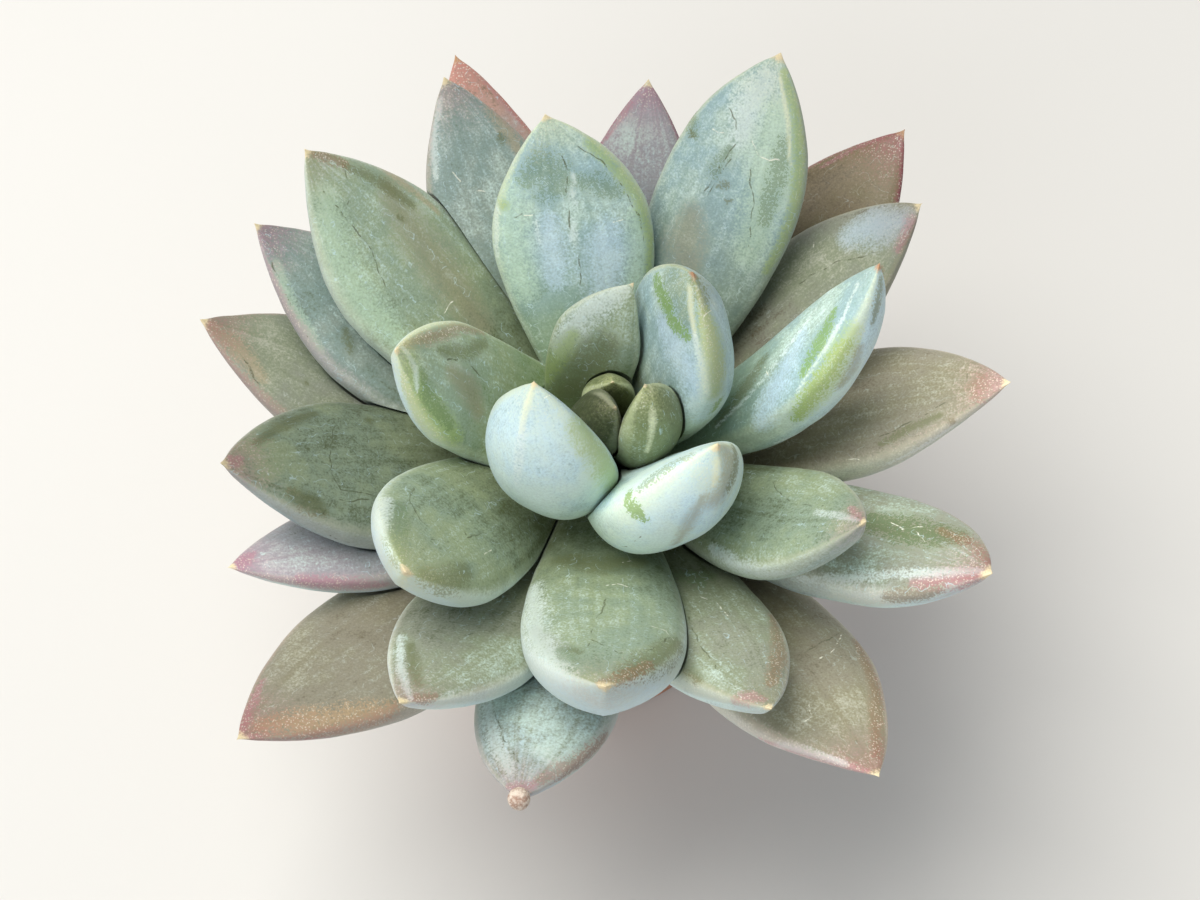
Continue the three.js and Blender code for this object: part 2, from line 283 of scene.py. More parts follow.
LOOKS = [
    Look(WAX_HEART, FLESH_OLIVE, 0.25, 0, 1.05, BLUSH_YELLOW, 0.2, 0.6, bloom=BLOOM_GREY),
    Look(WAX_HEART, FLESH_OLIVE, 0.1, 0, 0.42, BLUSH_YELLOW, 0.1, 0.5, bloom=BLOOM_GREY),
    Look(WAX_HEART, FLESH_OLIVE, 0.45, 0, 0.95, BLUSH_YELLOW, 0.2, 0.6),
    Look(WAX_BLUE, FLESH_GREEN, 0.85, 0.1, 1, BLUSH_YELLOW, 0.1, 0.4),
    Look(WAX_GREEN, FLESH_GREEN, 0.5, 0.2, 0.78, BLUSH_YELLOW, 0.3, 0.2),
    Look(WAX_BLUE, FLESH_GREEN, 0.9, 0.1, 1.2, BLUSH_YELLOW, 0.1, 0.4),
    Look(WAX_BLUE, FLESH_GREEN, 0.62, 0.2, 0.87, BLUSH_YELLOW, 0.5, 0.3, NIB_RED),
    Look(WAX_GREEN, FLESH_GREEN, 0.5, 0.4, 1.17, BLUSH_YELLOW, 0.6, 0.6),
    Look(WAX_GREEN, FLESH_OLIVE, 0.45, 0.6, 0.94, BLUSH_BROWN, 0.1, 0.4),
    Look(WAX_BLUE, FLESH_GREEN, 0.6, 0.2, 1, BLUSH_YELLOW, 0.4, 0.4),
    Look(WAX_BLUE, FLESH_GREEN, 0.55, 0.35, 1.2, BLUSH_YELLOW, 0.3, 0.2, NIB_RED),
    Look(WAX_GREEN, FLESH_OLIVE, 0.35, 0.7, 0.93, BLUSH_YELLOW, 0.2, 0.5),
    Look(WAX_GREEN, FLESH_OLIVE, 0.4, 0.25, 0.93, BLUSH_PINK, 0.1, 0.4),
    Look(WAX_BLUE, FLESH_OLIVE, 0.6, 0.2, 0.76, BLUSH_YELLOW, 0.3, 0.3),
    Look(WAX_GREEN, FLESH_OLIVE, 0.5, 0.3, 0.95, BLUSH_BROWN, 0.2, 0.4),
    Look(WAX_GREY, FLESH_OLIVE, 0.4, 0.4, 1.05, BLUSH_BROWN, 0.4, 0.3),
    Look(WAX_GREY, FLESH_OLIVE, 0.4, 0.5, 0.95, BLUSH_PINK, 0.2, 0.4),
    Look(WAX_TEAL, FLESH_OLIVE, 0.5, 0.2, 0.78, BLUSH_PINK, 0.4, 0.5),
    Look(WAX_GREY, FLESH_BROWN, 0.5, 0.4, 1.2, BLUSH_ROSE, 0.3, 0.6),
    Look(WAX_GREY, FLESH_BROWN, 0.45, 0.3, 0.77, BLUSH_BROWN, 0.4, 0.4, bloom=BLOOM_GREY),
    Look(WAX_GREEN, FLESH_OLIVE, 0.32, 0.5, 0.59, BLUSH_PINK, 0.2, 0.6),
    Look(WAX_GREY, FLESH_OLIVE, 0.7, 0.4, 0.79, BLUSH_PINK, 0.4, 0.5),
    Look(WAX_TEAL, FLESH_OLIVE, 0.45, 0.4, 0.82, BLUSH_MAGENTA, 0.6, 0.7),
    Look(WAX_TAUPE, FLESH_BROWN, 0.45, 0.3, 1.27, BLUSH_PINK, 0.3, 0.7, bloom=BLOOM_GREY),
    Look(WAX_LILAC, FLESH_OLIVE, 0.45, 0.4, 1.05, BLUSH_MAGENTA, 0.7, 0.7),
    Look(WAX_LILAC, FLESH_OLIVE, 0.5, 0.2, 0.74, BLUSH_MAGENTA, 0.9, 0.8),
    Look(WAX_TAUPE, FLESH_BROWN, 0.45, 0.4, 1.18, BLUSH_ROSE, 0.4, 0.5, bloom=BLOOM_GREY),
    Look(WAX_SALMON, FLESH_BROWN, 0.4, 0.3, 0.95, BLUSH_SALMON, 0.9, 0.9, NIB_RED),
    Look(WAX_GREY, FLESH_BROWN, 0.45, 0.4, 0.77, BLUSH_ROSE, 0.6, 0.6, bloom=BLOOM_GREY),
    Look(WAX_UMBER, FLESH_BROWN, 0.35, 0.1, 0.72, BLUSH_ROSE, 1, 0.8, NIB_RED, BLOOM_GREY),
    Look(WAX_TAUPE, FLESH_BROWN, 0.5, 0.3, 0.85, BLUSH_ROSE, 0.5, 0.6, bloom=BLOOM_GREY),
]


@dataclass
class Paint:
    """A patch's colour, how strong it is, how soft its edge is and how much that frays."""

    colour: tuple
    strength: float
    soft: float
    frayed: float


PAINTS = {
    "mist": Paint((0.5, 0.66, 0.48), 0.55, 0.5, 0.8),
    "taupe": Paint((0.28, 0.25, 0.15), 0.55, 0.5, 0.8),
    "tan": Paint((0.48, 0.39, 0.25), 0.6, 0.4, 0.8),
    "pale": Paint((0.7, 0.8, 0.77), 0.65, 0.4, 0.9),
    "blue": Paint((0.55, 0.7, 0.84), 0.55, 0.5, 0.7),
    "yellow": Paint((0.33, 0.44, 0.15), 0.7, 0.45, 0.9),
    "worn": Paint((0.12, 0.19, 0.08), 0.55, 0.12, 2.4),
    # Dark olive patches of the skin, and also painted shade where part of a leaf lies in shade near its root
    # or behind a neighbour
    "olive_and_shade": Paint((0.14, 0.16, 0.06), 0.65, 0.32, 1.4),
    "rubbed": Paint((0.2, 0.34, 0.08), 0.8, 0.2, 1.6),
    "gold": Paint((0.5, 0.32, 0.16), 0.6, 0.45, 1.4),
    "brown": Paint((0.25, 0.16, 0.085), 0.65, 0.4, 1.2),
    "rose": Paint((0.46, 0.2, 0.24), 0.6, 0.5, 1.0),
    # A painted highlight: pale light along keels, ridges and lit edges
    "painted_highlight": Paint((0.85, 0.87, 0.62), 0.65, 0.5, 0.3),
}
PORED_PAINTS = ("gold", "brown", "rose")

# How wide a soft mark is at its ends, beside its middle
MARK_END_WIDTH = 0.6

# How wide a thin line's wobble is, and how far apart two leaves' patterns are taken, in mm
LINE_WOBBLE = 1.2
PATTERN_SHIFT = 3.7

# Thin lines: their name, half their width in mm, their colour and how strong they are
HAIRLINE = ("hairline", 0.14, (0.09, 0.1, 0.045), 0.75)
SCRATCH = ("scratch", 0.12, (0.9, 0.9, 0.78), 0.8)


@dataclass
class Mark:
    """A mark on one leaf, along a path of the photograph's pixels.

    Reach is how many mm from its path a soft mark is half as deep. Thin lines have none.
    """

    leaf: int
    kind: str
    path: list
    reach: float = 0


MARKS = [
    Mark(2, "painted_highlight", [(582, 390), (600, 394), (614, 407)], 0.3),
    Mark(3, "painted_highlight", [(650, 386), (653, 421), (647, 452)], 0.4),
    Mark(4, "painted_highlight", [(534, 384), (527, 402), (521, 432)], 0.45),
    Mark(4, "yellow", [(556, 392), (582, 428), (606, 466), (614, 492)], 1.7),
    Mark(4, "pale", [(523, 425), (519, 455), (518, 485)], 0.6),
    Mark(4, "scratch", [(545, 399), (550, 396), (547, 390)]),
    Mark(5, "pale", [(557, 350), (585, 310), (622, 289)], 1.8),
    # Painted shade on the lower part of the leaf's inner face, toward its root
    Mark(5, "olive_and_shade", [(604, 345), (588, 372), (562, 394)], 2.6),
    Mark(5, "yellow", [(546, 378), (558, 356), (574, 334)], 1.2),
    # Painted shade where this leaf's side lies tucked behind leaf 5
    Mark(7, "olive_and_shade", [(637, 300), (626, 345), (618, 385)], 1.7),
    Mark(7, "olive_and_shade", [(664, 392), (676, 412), (682, 432)], 2),
    Mark(7, "brown", [(625, 343), (622, 354)], 0.4),
    Mark(7, "blue", [(663, 325), (680, 355), (697, 385), (705, 415)], 2.6),
    Mark(7, "worn", [(673, 272), (676, 292), (684, 318)], 2.6),
    Mark(7, "rubbed", [(656, 278), (661, 293), (669, 310), (675, 325), (687, 336)], 1),
    Mark(7, "olive_and_shade", [(697, 280), (703, 294), (706, 308)], 1),
    Mark(7, "rubbed", [(712, 412), (717, 404), (722, 398)], 0.6),
    Mark(7, "yellow", [(706, 315), (716, 355), (716, 392)], 1.6),
    Mark(7, "painted_highlight", [(692, 270), (690, 290), (691, 312), (695, 335)], 0.4),
    Mark(7, "pale", [(695, 335), (702, 365), (708, 395)], 0.5),
    Mark(7, "scratch", [(714, 303), (713, 310), (704, 319)]),
    Mark(6, "rubbed", [(629, 493), (633, 508), (646, 521)], 0.8),
    Mark(6, "worn", [(640, 488), (662, 470), (690, 455)], 0.8),
    Mark(6, "taupe", [(704, 497), (690, 520), (675, 544)], 0.9),
    Mark(6, "taupe", [(724, 446), (731, 466), (725, 488), (714, 500)], 2),
    Mark(6, "olive_and_shade", [(733, 446), (736, 466), (727, 490)], 1),
    Mark(6, "painted_highlight", [(711, 443), (717, 462), (714, 485)], 0.5),
    Mark(6, "hairline", [(622, 547), (640, 537)]),
    Mark(8, "taupe", [(452, 372), (470, 390), (478, 412)], 1.6),
    Mark(8, "yellow", [(410, 362), (422, 400), (440, 425), (455, 438)], 1.7),
    Mark(8, "worn", [(422, 372), (430, 402), (450, 426)], 0.9),
    Mark(8, "brown", [(402, 345), (432, 337), (457, 327), (482, 332)], 0.9),
    Mark(8, "olive_and_shade", [(440, 350), (465, 353), (485, 342)], 0.9),
    Mark(8, "pale", [(394, 358), (395, 388), (410, 420), (440, 446)], 0.9),
    Mark(8, "pale", [(402, 347), (415, 367), (417, 390)], 0.4),
    Mark(8, "hairline", [(447, 359), (465, 362), (485, 380)]),
    Mark(9, "olive_and_shade", [(535, 630), (557, 648), (579, 652)], 0.9),
    Mark(9, "olive_and_shade", [(624, 672), (657, 659), (678, 643)], 1.6),
    Mark(9, "pale", [(532, 590), (536, 640), (560, 680), (598, 703)], 2),
    Mark(9, "worn", [(560, 650), (575, 660)], 0.8),
    Mark(9, "olive_and_shade", [(560, 560), (600, 566), (640, 562)], 1.5),
    Mark(9, "brown", [(600, 684), (625, 677), (652, 664)], 0.8),
    Mark(9, "hairline", [(608, 599), (593, 626), (588, 648)]),
    Mark(9, "hairline", [(592, 640), (618, 652), (650, 650), (672, 638)]),
    Mark(9, "scratch", [(604, 586), (617, 584), (630, 588)]),
    Mark(9, "scratch", [(621, 562), (641, 560)]),
    Mark(9, "scratch", [(653, 626), (667, 631), (675, 641)]),
    Mark(10, "blue", [(606, 236), (608, 262), (604, 290)], 3.4),
    Mark(10, "blue", [(548, 222), (552, 250), (556, 280)], 2),
    Mark(10, "mist", [(512, 150), (505, 200), (512, 250), (524, 290)], 2.6),
    Mark(10, "mist", [(636, 215), (642, 255), (632, 288)], 1.6),
    Mark(10, "worn", [(526, 178), (545, 165), (560, 180), (545, 195)], 1.8),
    Mark(10, "worn", [(580, 180), (600, 184), (618, 192)], 1.2),
    Mark(10, "yellow", [(508, 165), (500, 185), (504, 205)], 1),
    Mark(10, "yellow", [(549, 112), (590, 143), (618, 170), (638, 198), (651, 240), (654, 275)], 0.8),
    Mark(10, "pale", [(545, 110), (508, 160), (496, 210), (497, 255)], 0.5),
    Mark(10, "pale", [(573, 170), (573, 210), (574, 250)], 0.3),
    Mark(10, "pale", [(536, 221), (544, 250)], 0.3),
    Mark(10, "hairline", [(563, 157), (568, 185), (568, 232)]),
    Mark(10, "hairline", [(579, 250), (580, 283)]),
    Mark(10, "hairline", [(573, 141), (600, 160), (620, 181), (640, 215), (646, 252)]),
    Mark(10, "hairline", [(497, 214), (506, 219), (522, 214)]),
    Mark(10, "scratch", [(524, 216), (538, 214)]),
    Mark(10, "scratch", [(613, 221), (624, 219)]),
    Mark(11, "blue", [(802, 335), (780, 378), (762, 425)], 1.8),
    Mark(11, "olive_and_shade", [(765, 358), (742, 392), (718, 424)], 1.1),
    Mark(11, "rubbed", [(834, 312), (820, 342), (804, 372)], 1.1),
    Mark(11, "rubbed", [(848, 342), (828, 372), (810, 396), (796, 418)], 1.1),
    Mark(11, "yellow", [(852, 330), (832, 372), (800, 415)], 1.7),
    Mark(11, "taupe", [(860, 348), (852, 370), (840, 387)], 0.9),
    Mark(11, "olive_and_shade", [(881, 280), (878, 300), (873, 322)], 0.7),
    Mark(11, "pale", [(866, 264), (858, 285), (842, 320), (826, 348), (797, 392)], 0.3),
    Mark(11, "pale", [(845, 275), (815, 310), (790, 345), (748, 397), (715, 428)], 0.3),
    Mark(11, "pale", [(884, 330), (862, 380), (828, 420), (780, 450)], 0.8),
    Mark(11, "scratch", [(764, 368), (768, 375)]),
    Mark(12, "olive_and_shade", [(424, 574), (442, 581), (457, 578), (466, 570)], 1.6),
    Mark(12, "worn", [(399, 505), (396, 540), (402, 565)], 1.3),
    Mark(12, "pale", [(386, 500), (379, 530), (388, 570), (410, 596)], 1.2),
    Mark(12, "painted_highlight", [(405, 575), (402, 588)], 0.5),
    Mark(12, "hairline", [(412, 487), (410, 502), (420, 520), (432, 530)]),
    Mark(12, "hairline", [(432, 540), (457, 541), (480, 534)]),
    Mark(12, "hairline", [(447, 502), (467, 535)]),
    Mark(12, "scratch", [(478, 560), (490, 548)]),
    Mark(13, "pale", [(712, 548), (740, 568), (790, 572)], 1),
    Mark(13, "pale", [(815, 512), (840, 516), (858, 520)], 0.5),
    Mark(13, "rose", [(850, 508), (862, 520)], 0.6),
    Mark(13, "hairline", [(771, 483), (792, 504), (825, 506)]),
    Mark(14, "pale", [(768, 75), (752, 100), (742, 135)], 2.2),
    Mark(14, "taupe", [(692, 215), (684, 245), (688, 272)], 2.4),
    Mark(14, "mist", [(776, 115), (774, 170), (752, 250)], 3),
    Mark(14, "worn", [(783, 140), (776, 180), (764, 222)], 1),
    Mark(14, "worn", [(692, 118), (695, 135)], 0.9),
    Mark(14, "worn", [(728, 150), (714, 172), (720, 160)], 0.8),
    Mark(14, "yellow", [(784, 72), (796, 112), (800, 160), (796, 205), (783, 242), (766, 272)], 0.8),
    Mark(14, "olive_and_shade", [(719, 186), (728, 184)], 0.5),
    Mark(14, "olive_and_shade", [(724, 201), (729, 201)], 0.35),
    Mark(14, "olive_and_shade", [(690, 132), (693, 137)], 0.5),
    Mark(14, "rose", [(735, 76), (760, 62), (778, 56)], 0.4),
    Mark(14, "painted_highlight", [(780, 78), (788, 120), (790, 165)], 0.25),
    Mark(14, "hairline", [(695, 113), (729, 108), (737, 119), (737, 141), (716, 172), (704, 192)]),
    Mark(14, "hairline", [(731, 160), (711, 188), (707, 199)]),
    Mark(14, "hairline", [(750, 170), (752, 214), (748, 245)]),
    Mark(14, "scratch", [(713, 128), (718, 132), (727, 134)]),
    Mark(14, "scratch", [(751, 143), (758, 154), (769, 161), (779, 160)]),
    Mark(14, "scratch", [(751, 248), (764, 248)]),
    Mark(15, "mist", [(326, 195), (336, 250), (365, 310), (395, 338)], 2.4),
    Mark(15, "taupe", [(390, 190), (410, 225), (450, 280), (480, 325)], 2.6),
    Mark(15, "olive_and_shade", [(345, 166), (380, 182), (412, 205)], 0.8),
    Mark(15, "tan", [(345, 156), (395, 176), (438, 212)], 0.6),
    Mark(15, "olive_and_shade", [(399, 216), (403, 220)], 0.4),
    Mark(15, "brown", [(310, 152), (325, 156), (345, 164)], 0.8),
    Mark(15, "hairline", [(324, 192), (351, 225), (370, 248), (393, 308)]),
    Mark(15, "hairline", [(345, 170), (352, 190), (348, 205)]),
    Mark(15, "scratch", [(439, 317), (458, 299), (463, 303), (476, 282)]),
    Mark(16, "brown", [(777, 612), (780, 655), (770, 684)], 0.9),
    Mark(16, "worn", [(680, 575), (695, 580), (710, 575)], 1.3),
    Mark(16, "olive_and_shade", [(678, 663), (699, 680)], 0.9),
    Mark(16, "rose", [(735, 702), (750, 697), (762, 699)], 0.9),
    Mark(16, "hairline", [(689, 617), (699, 643), (720, 672)]),
    Mark(16, "scratch", [(700, 596), (716, 603), (728, 616)]),
    Mark(17, "olive_and_shade", [(411, 645), (413, 668), (419, 685)], 0.8),
    Mark(17, "brown", [(409, 697), (425, 699), (436, 696)], 0.6),
    Mark(17, "pale", [(400, 635), (401, 670), (410, 698)], 0.5),
    Mark(17, "hairline", [(509, 612), (495, 630), (464, 635)]),
    Mark(18, "tan", [(472, 92), (500, 118), (518, 150)], 1.1),
    Mark(18, "rose", [(446, 75), (470, 88)], 0.7),
    Mark(18, "olive_and_shade", [(500, 135), (503, 142)], 0.5),
    Mark(18, "pale", [(440, 100), (432, 140), (436, 180)], 0.5),
    Mark(18, "scratch", [(450, 170), (462, 182)]),
    Mark(18, "scratch", [(470, 190), (488, 192)]),
    Mark(19, "olive_and_shade", [(872, 522), (915, 531), (955, 535)], 2.6),
    Mark(19, "worn", [(868, 520), (915, 531), (960, 537)], 2),
    Mark(19, "olive_and_shade", [(888, 598), (915, 596), (940, 588)], 1.2),
    Mark(19, "brown", [(940, 530), (975, 545), (988, 562)], 0.9),
    Mark(19, "rose", [(915, 582), (955, 578), (987, 575)], 1.1),
    Mark(19, "pale", [(800, 580), (850, 578), (935, 573), (982, 571)], 0.7),
    Mark(19, "pale", [(810, 600), (860, 605), (900, 608)], 0.8),
    Mark(19, "scratch", [(890, 521), (903, 529), (921, 527), (930, 531)]),
    Mark(19, "scratch", [(905, 538), (915, 531), (925, 541)]),
    Mark(20, "blue", [(850, 236), (875, 226), (902, 220)], 2.4),
    Mark(20, "rose", [(922, 202), (912, 222), (898, 250)], 0.7),
    Mark(20, "brown", [(880, 270), (868, 290)], 0.7),
    Mark(20, "scratch", [(814, 240), (815, 250)]),
    Mark(20, "scratch", [(780, 270), (800, 262), (812, 250)]),
    Mark(20, "hairline", [(800, 282), (838, 262), (880, 252)]),
    Mark(21, "olive_and_shade", [(256, 444), (278, 427), (314, 413)], 0.8),
    Mark(21, "olive_and_shade", [(292, 493), (308, 503), (323, 511)], 1.1),
    Mark(21, "olive_and_shade", [(368, 421), (371, 421)], 0.6),
    Mark(21, "pale", [(248, 493), (287, 526), (336, 547)], 0.9),
    Mark(21, "rose", [(226, 463), (240, 459)], 0.8),
    Mark(21, "hairline", [(338, 418), (329, 444), (332, 471), (340, 488), (376, 497)]),
    Mark(21, "hairline", [(376, 501), (332, 501), (323, 515), (332, 537), (349, 542)]),
    Mark(22, "pale", [(486, 700), (494, 740), (510, 772)], 0.9),
    Mark(22, "brown", [(540, 780), (579, 761), (606, 736)], 1),
    Mark(22, "rose", [(508, 788), (520, 789), (532, 785)], 0.8),
    Mark(22, "hairline", [(495, 714), (504, 741), (520, 761)]),
    Mark(23, "mist", [(276, 262), (290, 305), (320, 350)], 0.8),
    Mark(23, "pale", [(262, 250), (275, 300), (300, 345)], 0.4),
    Mark(23, "olive_and_shade", [(345, 330), (352, 352)], 0.7),
    Mark(23, "hairline", [(272, 262), (283, 289), (306, 335)]),
    Mark(24, "olive_and_shade", [(880, 445), (907, 430), (940, 415)], 0.5),
    Mark(24, "pale", [(885, 465), (925, 445), (955, 425)], 0.4),
    Mark(24, "olive_and_shade", [(950, 421), (954, 423)], 0.5),
    Mark(24, "olive_and_shade", [(925, 457), (945, 445), (965, 432)], 0.5),
    Mark(24, "brown", [(980, 378), (978, 396)], 1.3),
    Mark(24, "hairline", [(966, 372), (965, 395), (970, 410)]),
    Mark(24, "hairline", [(872, 440), (905, 425), (948, 402)]),
    Mark(24, "scratch", [(845, 462), (872, 458)]),
    Mark(25, "rose", [(300, 579), (345, 584), (385, 585)], 0.9),
    Mark(25, "rose", [(236, 567), (252, 555)], 0.9),
    Mark(26, "rose", [(645, 82), (628, 108), (606, 140)], 0.35),
    Mark(26, "rose", [(652, 86), (668, 108), (678, 130)], 0.4),
    Mark(27, "rose", [(762, 740), (808, 757), (867, 773)], 0.8),
    Mark(27, "pale", [(735, 728), (785, 746), (845, 764)], 0.6),
    Mark(27, "brown", [(859, 638), (876, 689), (876, 755)], 0.9),
    Mark(27, "hairline", [(800, 655), (830, 640), (845, 625)]),
    Mark(27, "scratch", [(800, 725), (812, 715), (808, 700)]),
    Mark(27, "scratch", [(818, 660), (834, 650), (842, 634)]),
    Mark(28, "rose", [(484, 76), (505, 98), (528, 128)], 0.7),
    Mark(29, "tan", [(210, 325), (235, 345), (262, 378)], 1.2),
    Mark(29, "rose", [(204, 322), (218, 352), (245, 385)], 0.6),
    Mark(29, "olive_and_shade", [(305, 383), (307, 384)], 0.4),
    Mark(29, "hairline", [(240, 354), (259, 382)]),
    Mark(30, "rose", [(899, 128), (903, 160), (900, 195)], 0.4),
    Mark(30, "rose", [(815, 158), (850, 140), (890, 128)], 0.35),
    Mark(31, "gold", [(262, 726), (323, 722), (390, 710)], 1.7),
    Mark(31, "rose", [(240, 735), (248, 712), (262, 682)], 0.7),
    Mark(31, "rose", [(243, 738), (280, 741), (330, 737)], 0.6),
]


# Shapes


def horizontal(angle):
    turn = math.radians(angle)
    return np.array([math.cos(turn), math.sin(turn), 0.0])


def unit(vectors):
    return vectors / np.linalg.norm(vectors, axis=-1, keepdims=True)


def smooth_noise(point, size, offset=0.0):
    """Noise from -1 to 1 that changes over about the given size in millimetres."""
    return noise.noise(Vector(point) / size + Vector((offset, 0, 0)))


def around(sides):
    """Evenly spaced angles that go once round."""
    return 2 * math.pi * np.arange(sides) / sides


def link_object(name, data):
    made = bpy.data.objects.new(name, data)
    bpy.context.scene.collection.objects.link(made)
    return made


def shade_smooth(mesh):
    mesh.polygons.foreach_set("use_smooth", [True] * len(mesh.polygons))


def make_object(name, points, faces):
    """A smooth mesh object from points in millimetres."""
    mesh = bpy.data.meshes.new(name)
    mesh.from_pydata([tuple(p) for p in np.asarray(points) * MM], [], faces)
    shade_smooth(mesh)
    mesh.update()
    return link_object(name, mesh)


def mesh_from(name, shape):
    """A mesh from a bmesh, which it frees."""
    mesh = bpy.data.meshes.new(name)
    shape.to_mesh(mesh)
    shape.free()
    return mesh


def set_attribute(mesh, key, values):
    values = np.asarray(values, np.float32)
    if values.ndim == 2:
        layer = mesh.attributes.new(key, "FLOAT_VECTOR", "POINT")
        layer.data.foreach_set("vector", values.ravel())
    else:
        layer = mesh.attributes.new(key, "FLOAT", "POINT")
        layer.data.foreach_set("value", values)


def grid_faces(rings, sides, first=0):
    """Quads between rings of points that close round on themselves."""
    faces = []
    for ring in range(rings - 1):
        for side in range(sides):
            a = first + ring * sides + side
            b = first + ring * sides + (side + 1) % sides
            faces.append((a, b, b + sides, a + sides))
    return faces


def looped_faces(rings, sides):
    """Faces of a ring-shaped skin, whose last ring joins its first."""
    last = (rings - 1) * sides
    faces = grid_faces(rings, sides)
    for side in range(sides):
        after = (side + 1) % sides
        faces.append((last + side, last + after, after, side))
    return faces


def capped_faces(rings, sides):
    """Faces of a closed skin: a first pole, rings of points, and a last pole."""
    last = 1 + rings * sides
    faces = grid_faces(rings, sides, 1)
    for side in range(sides):
        after = (side + 1) % sides
        faces.append((0, 1 + after, 1 + side))
        faces.append((last, last - sides + side, last - sides + after))
    return faces


def stem_radius(height):
    climb = np.clip((height - STEM_SHOULDER) / (STEM_TOP - STEM_SHOULDER), 0, 1)
    return STEM_RADIUS * np.sqrt(1 - climb**2)


def swell(along, root, fullest_at, blunt):
    """How a leaf swells from its root to its fullest place and tapers to its tip."""
    rising = root + (1 - root) * np.sin(math.pi / 2 * np.minimum(along / fullest_at, 1)) ** ROOT_EASE
    falling = 1 - (np.maximum(along - fullest_at, 0) / (1 - fullest_at)) ** blunt
    return np.where(along < fullest_at, rising, falling)


def section(angles, along):
    """The leaf's section: nearly flat above, and round below with a keel near the tip."""
    across = np.sign(np.cos(angles)) * np.abs(np.cos(angles)) ** SIDE_CROWDING
    aside = np.clip(np.abs(across), 0, 1)
    round_side = np.sqrt(1 - aside**MARGIN_SQUARENESS)
    keeled_side = 1 - aside**KEEL_STRAIGHTNESS
    keel = KEEL_SHARPNESS * np.clip((along - KEEL_FROM) / (1 - KEEL_FROM), 0, 1)
    lower = (1 - keel) * round_side + keel * keeled_side
    return across, np.where(np.sin(angles) >= 0, UPPER_SHARE * round_side, -(1 - UPPER_SHARE) * lower)


def leaf_skin(leaf, order, clearance, sides, rings, uneven=0.0):
    """A leaf's points, and each point's place on it: across, along, and above or below."""
    root_height = ROOT_TOP - ROOT_PITCH * (order - 1)
    root = horizontal(leaf.facing) * (stem_radius(root_height) - ROOT_DEPTH)
    root[2] = root_height
    turn, reach, height = leaf.tip
    tip = horizontal(turn) * reach
    tip[2] = height
    chord = unit(tip - root)
    across = horizontal(leaf.facing + 90)
    across = unit(across - chord * chord.dot(across))
    upper = np.cross(chord, across)
    length = np.linalg.norm(tip - root)
    root = root - chord * clearance
    tip = tip + chord * clearance
    middle = (root + tip) / 2 - upper * 2 * leaf.bow + across * 2 * leaf.lean

    step = np.linspace(0, 1, rings)
    along = (step + (1 - np.cos(math.pi * step)) / 2) / 2
    t = along[:, None]
    centre = root * (1 - t) ** 2 + middle * 2 * t * (1 - t) + tip * t**2
    tangent = unit((middle - root) * (1 - t) + (tip - middle) * t)
    level = unit(across - tangent * (tangent @ across)[:, None])
    roll = math.radians(leaf.roll)
    aside = level * math.cos(roll) + np.cross(tangent, level) * math.sin(roll)
    upward = np.cross(tangent, aside)

    angles = around(sides)
    x, y = section(angles[None, :], t)
    nib = 1 - NIB_PINCH * np.exp(-(((1 - along) * length / NIB_LENGTH) ** 2))
    half_width = leaf.width / 2 * swell(along, leaf.foot, WIDEST_AT, leaf.blunt) * nib
    thickness = leaf.thick * swell(along, ROOT_THICKNESS, THICKEST_AT, leaf.blunt + TIP_FULLNESS) * nib
    offset_x = x * (half_width + clearance)[:, None]
    offset_y = y * thickness[:, None] + np.sign(y) * clearance
    points = centre[:, None] + aside[:, None] * offset_x[..., None] + upward[:, None] * offset_y[..., None]
    blade = np.stack(np.broadcast_arrays(x, t, y), -1)

    body = points[:-1].reshape(-1, 3)
    if uneven:
        inward = unit(np.repeat(centre[:-1], sides, axis=0) - body)
        swells = [
            smooth_noise(p, SKIN_WAVE_SIZE, order) + SKIN_RIPPLE * smooth_noise(p, SKIN_RIPPLE_SIZE, order)
            for p in body
        ]
        body = body + inward * (uneven * np.array(swells))[:, None]
    points = np.vstack([root, body, tip])
    blade = np.vstack([(0, 0, 0), blade[:-1].reshape(-1, 3), (0, 1, 0)])
    return points, blade


def make_blank(name, leaf, order, clearance, sides, rings, uneven=0.0):
    points, blade = leaf_skin(leaf, order, clearance, sides, rings, uneven)
    made = make_object(name, points, capped_faces(rings - 1, sides))
    return made, points, blade


def apply_modifiers(made):
    """Replaces an object's mesh with what its modifiers make of it."""
    graph = bpy.context.evaluated_depsgraph_get()
    mesh = bpy.data.meshes.new_from_object(made.evaluated_get(graph))
    made.modifiers.clear()
    made.data = mesh


def keep_largest(made):
    """Drops the loose scraps that a cut leaves."""
    shape = bmesh.new()
    shape.from_mesh(made.data)
    shape.verts.ensure_lookup_table()
    unseen = set(range(len(shape.verts)))
    islands = []
    while unseen:
        stack = [unseen.pop()]
        island = list(stack)
        while stack:
            for edge in shape.verts[stack.pop()].link_edges:
                for vert in edge.verts:
                    if vert.index in unseen:
                        unseen.remove(vert.index)
                        island.append(vert.index)
                        stack.append(vert.index)
        islands.append(island)
    islands.sort(key=len)
    scraps = [shape.verts[i] for island in islands[:-1] for i in island]
    bmesh.ops.delete(shape, geom=scraps, context="VERTS")
    shape.to_mesh(made.data)
    shape.free()


def copy_blade(made, points, blade):
    """Gives each point of a cut leaf its place on the uncut leaf."""
    tree = KDTree(len(points))
    for i, point in enumerate(points):
        tree.insert(Vector(point) * MM, i)
    tree.balance()
    nearest = [tree.find(vertex.co)[1] for vertex in made.data.vertices]
    set_attribute(made.data, "blade", blade[nearest])


def camera_place():
    tilt = math.radians(CAMERA_ELEVATION)
    back = Vector((0, -math.cos(tilt), math.sin(tilt)))
    return Vector(CAMERA_TARGET) + back * CAMERA_DISTANCE


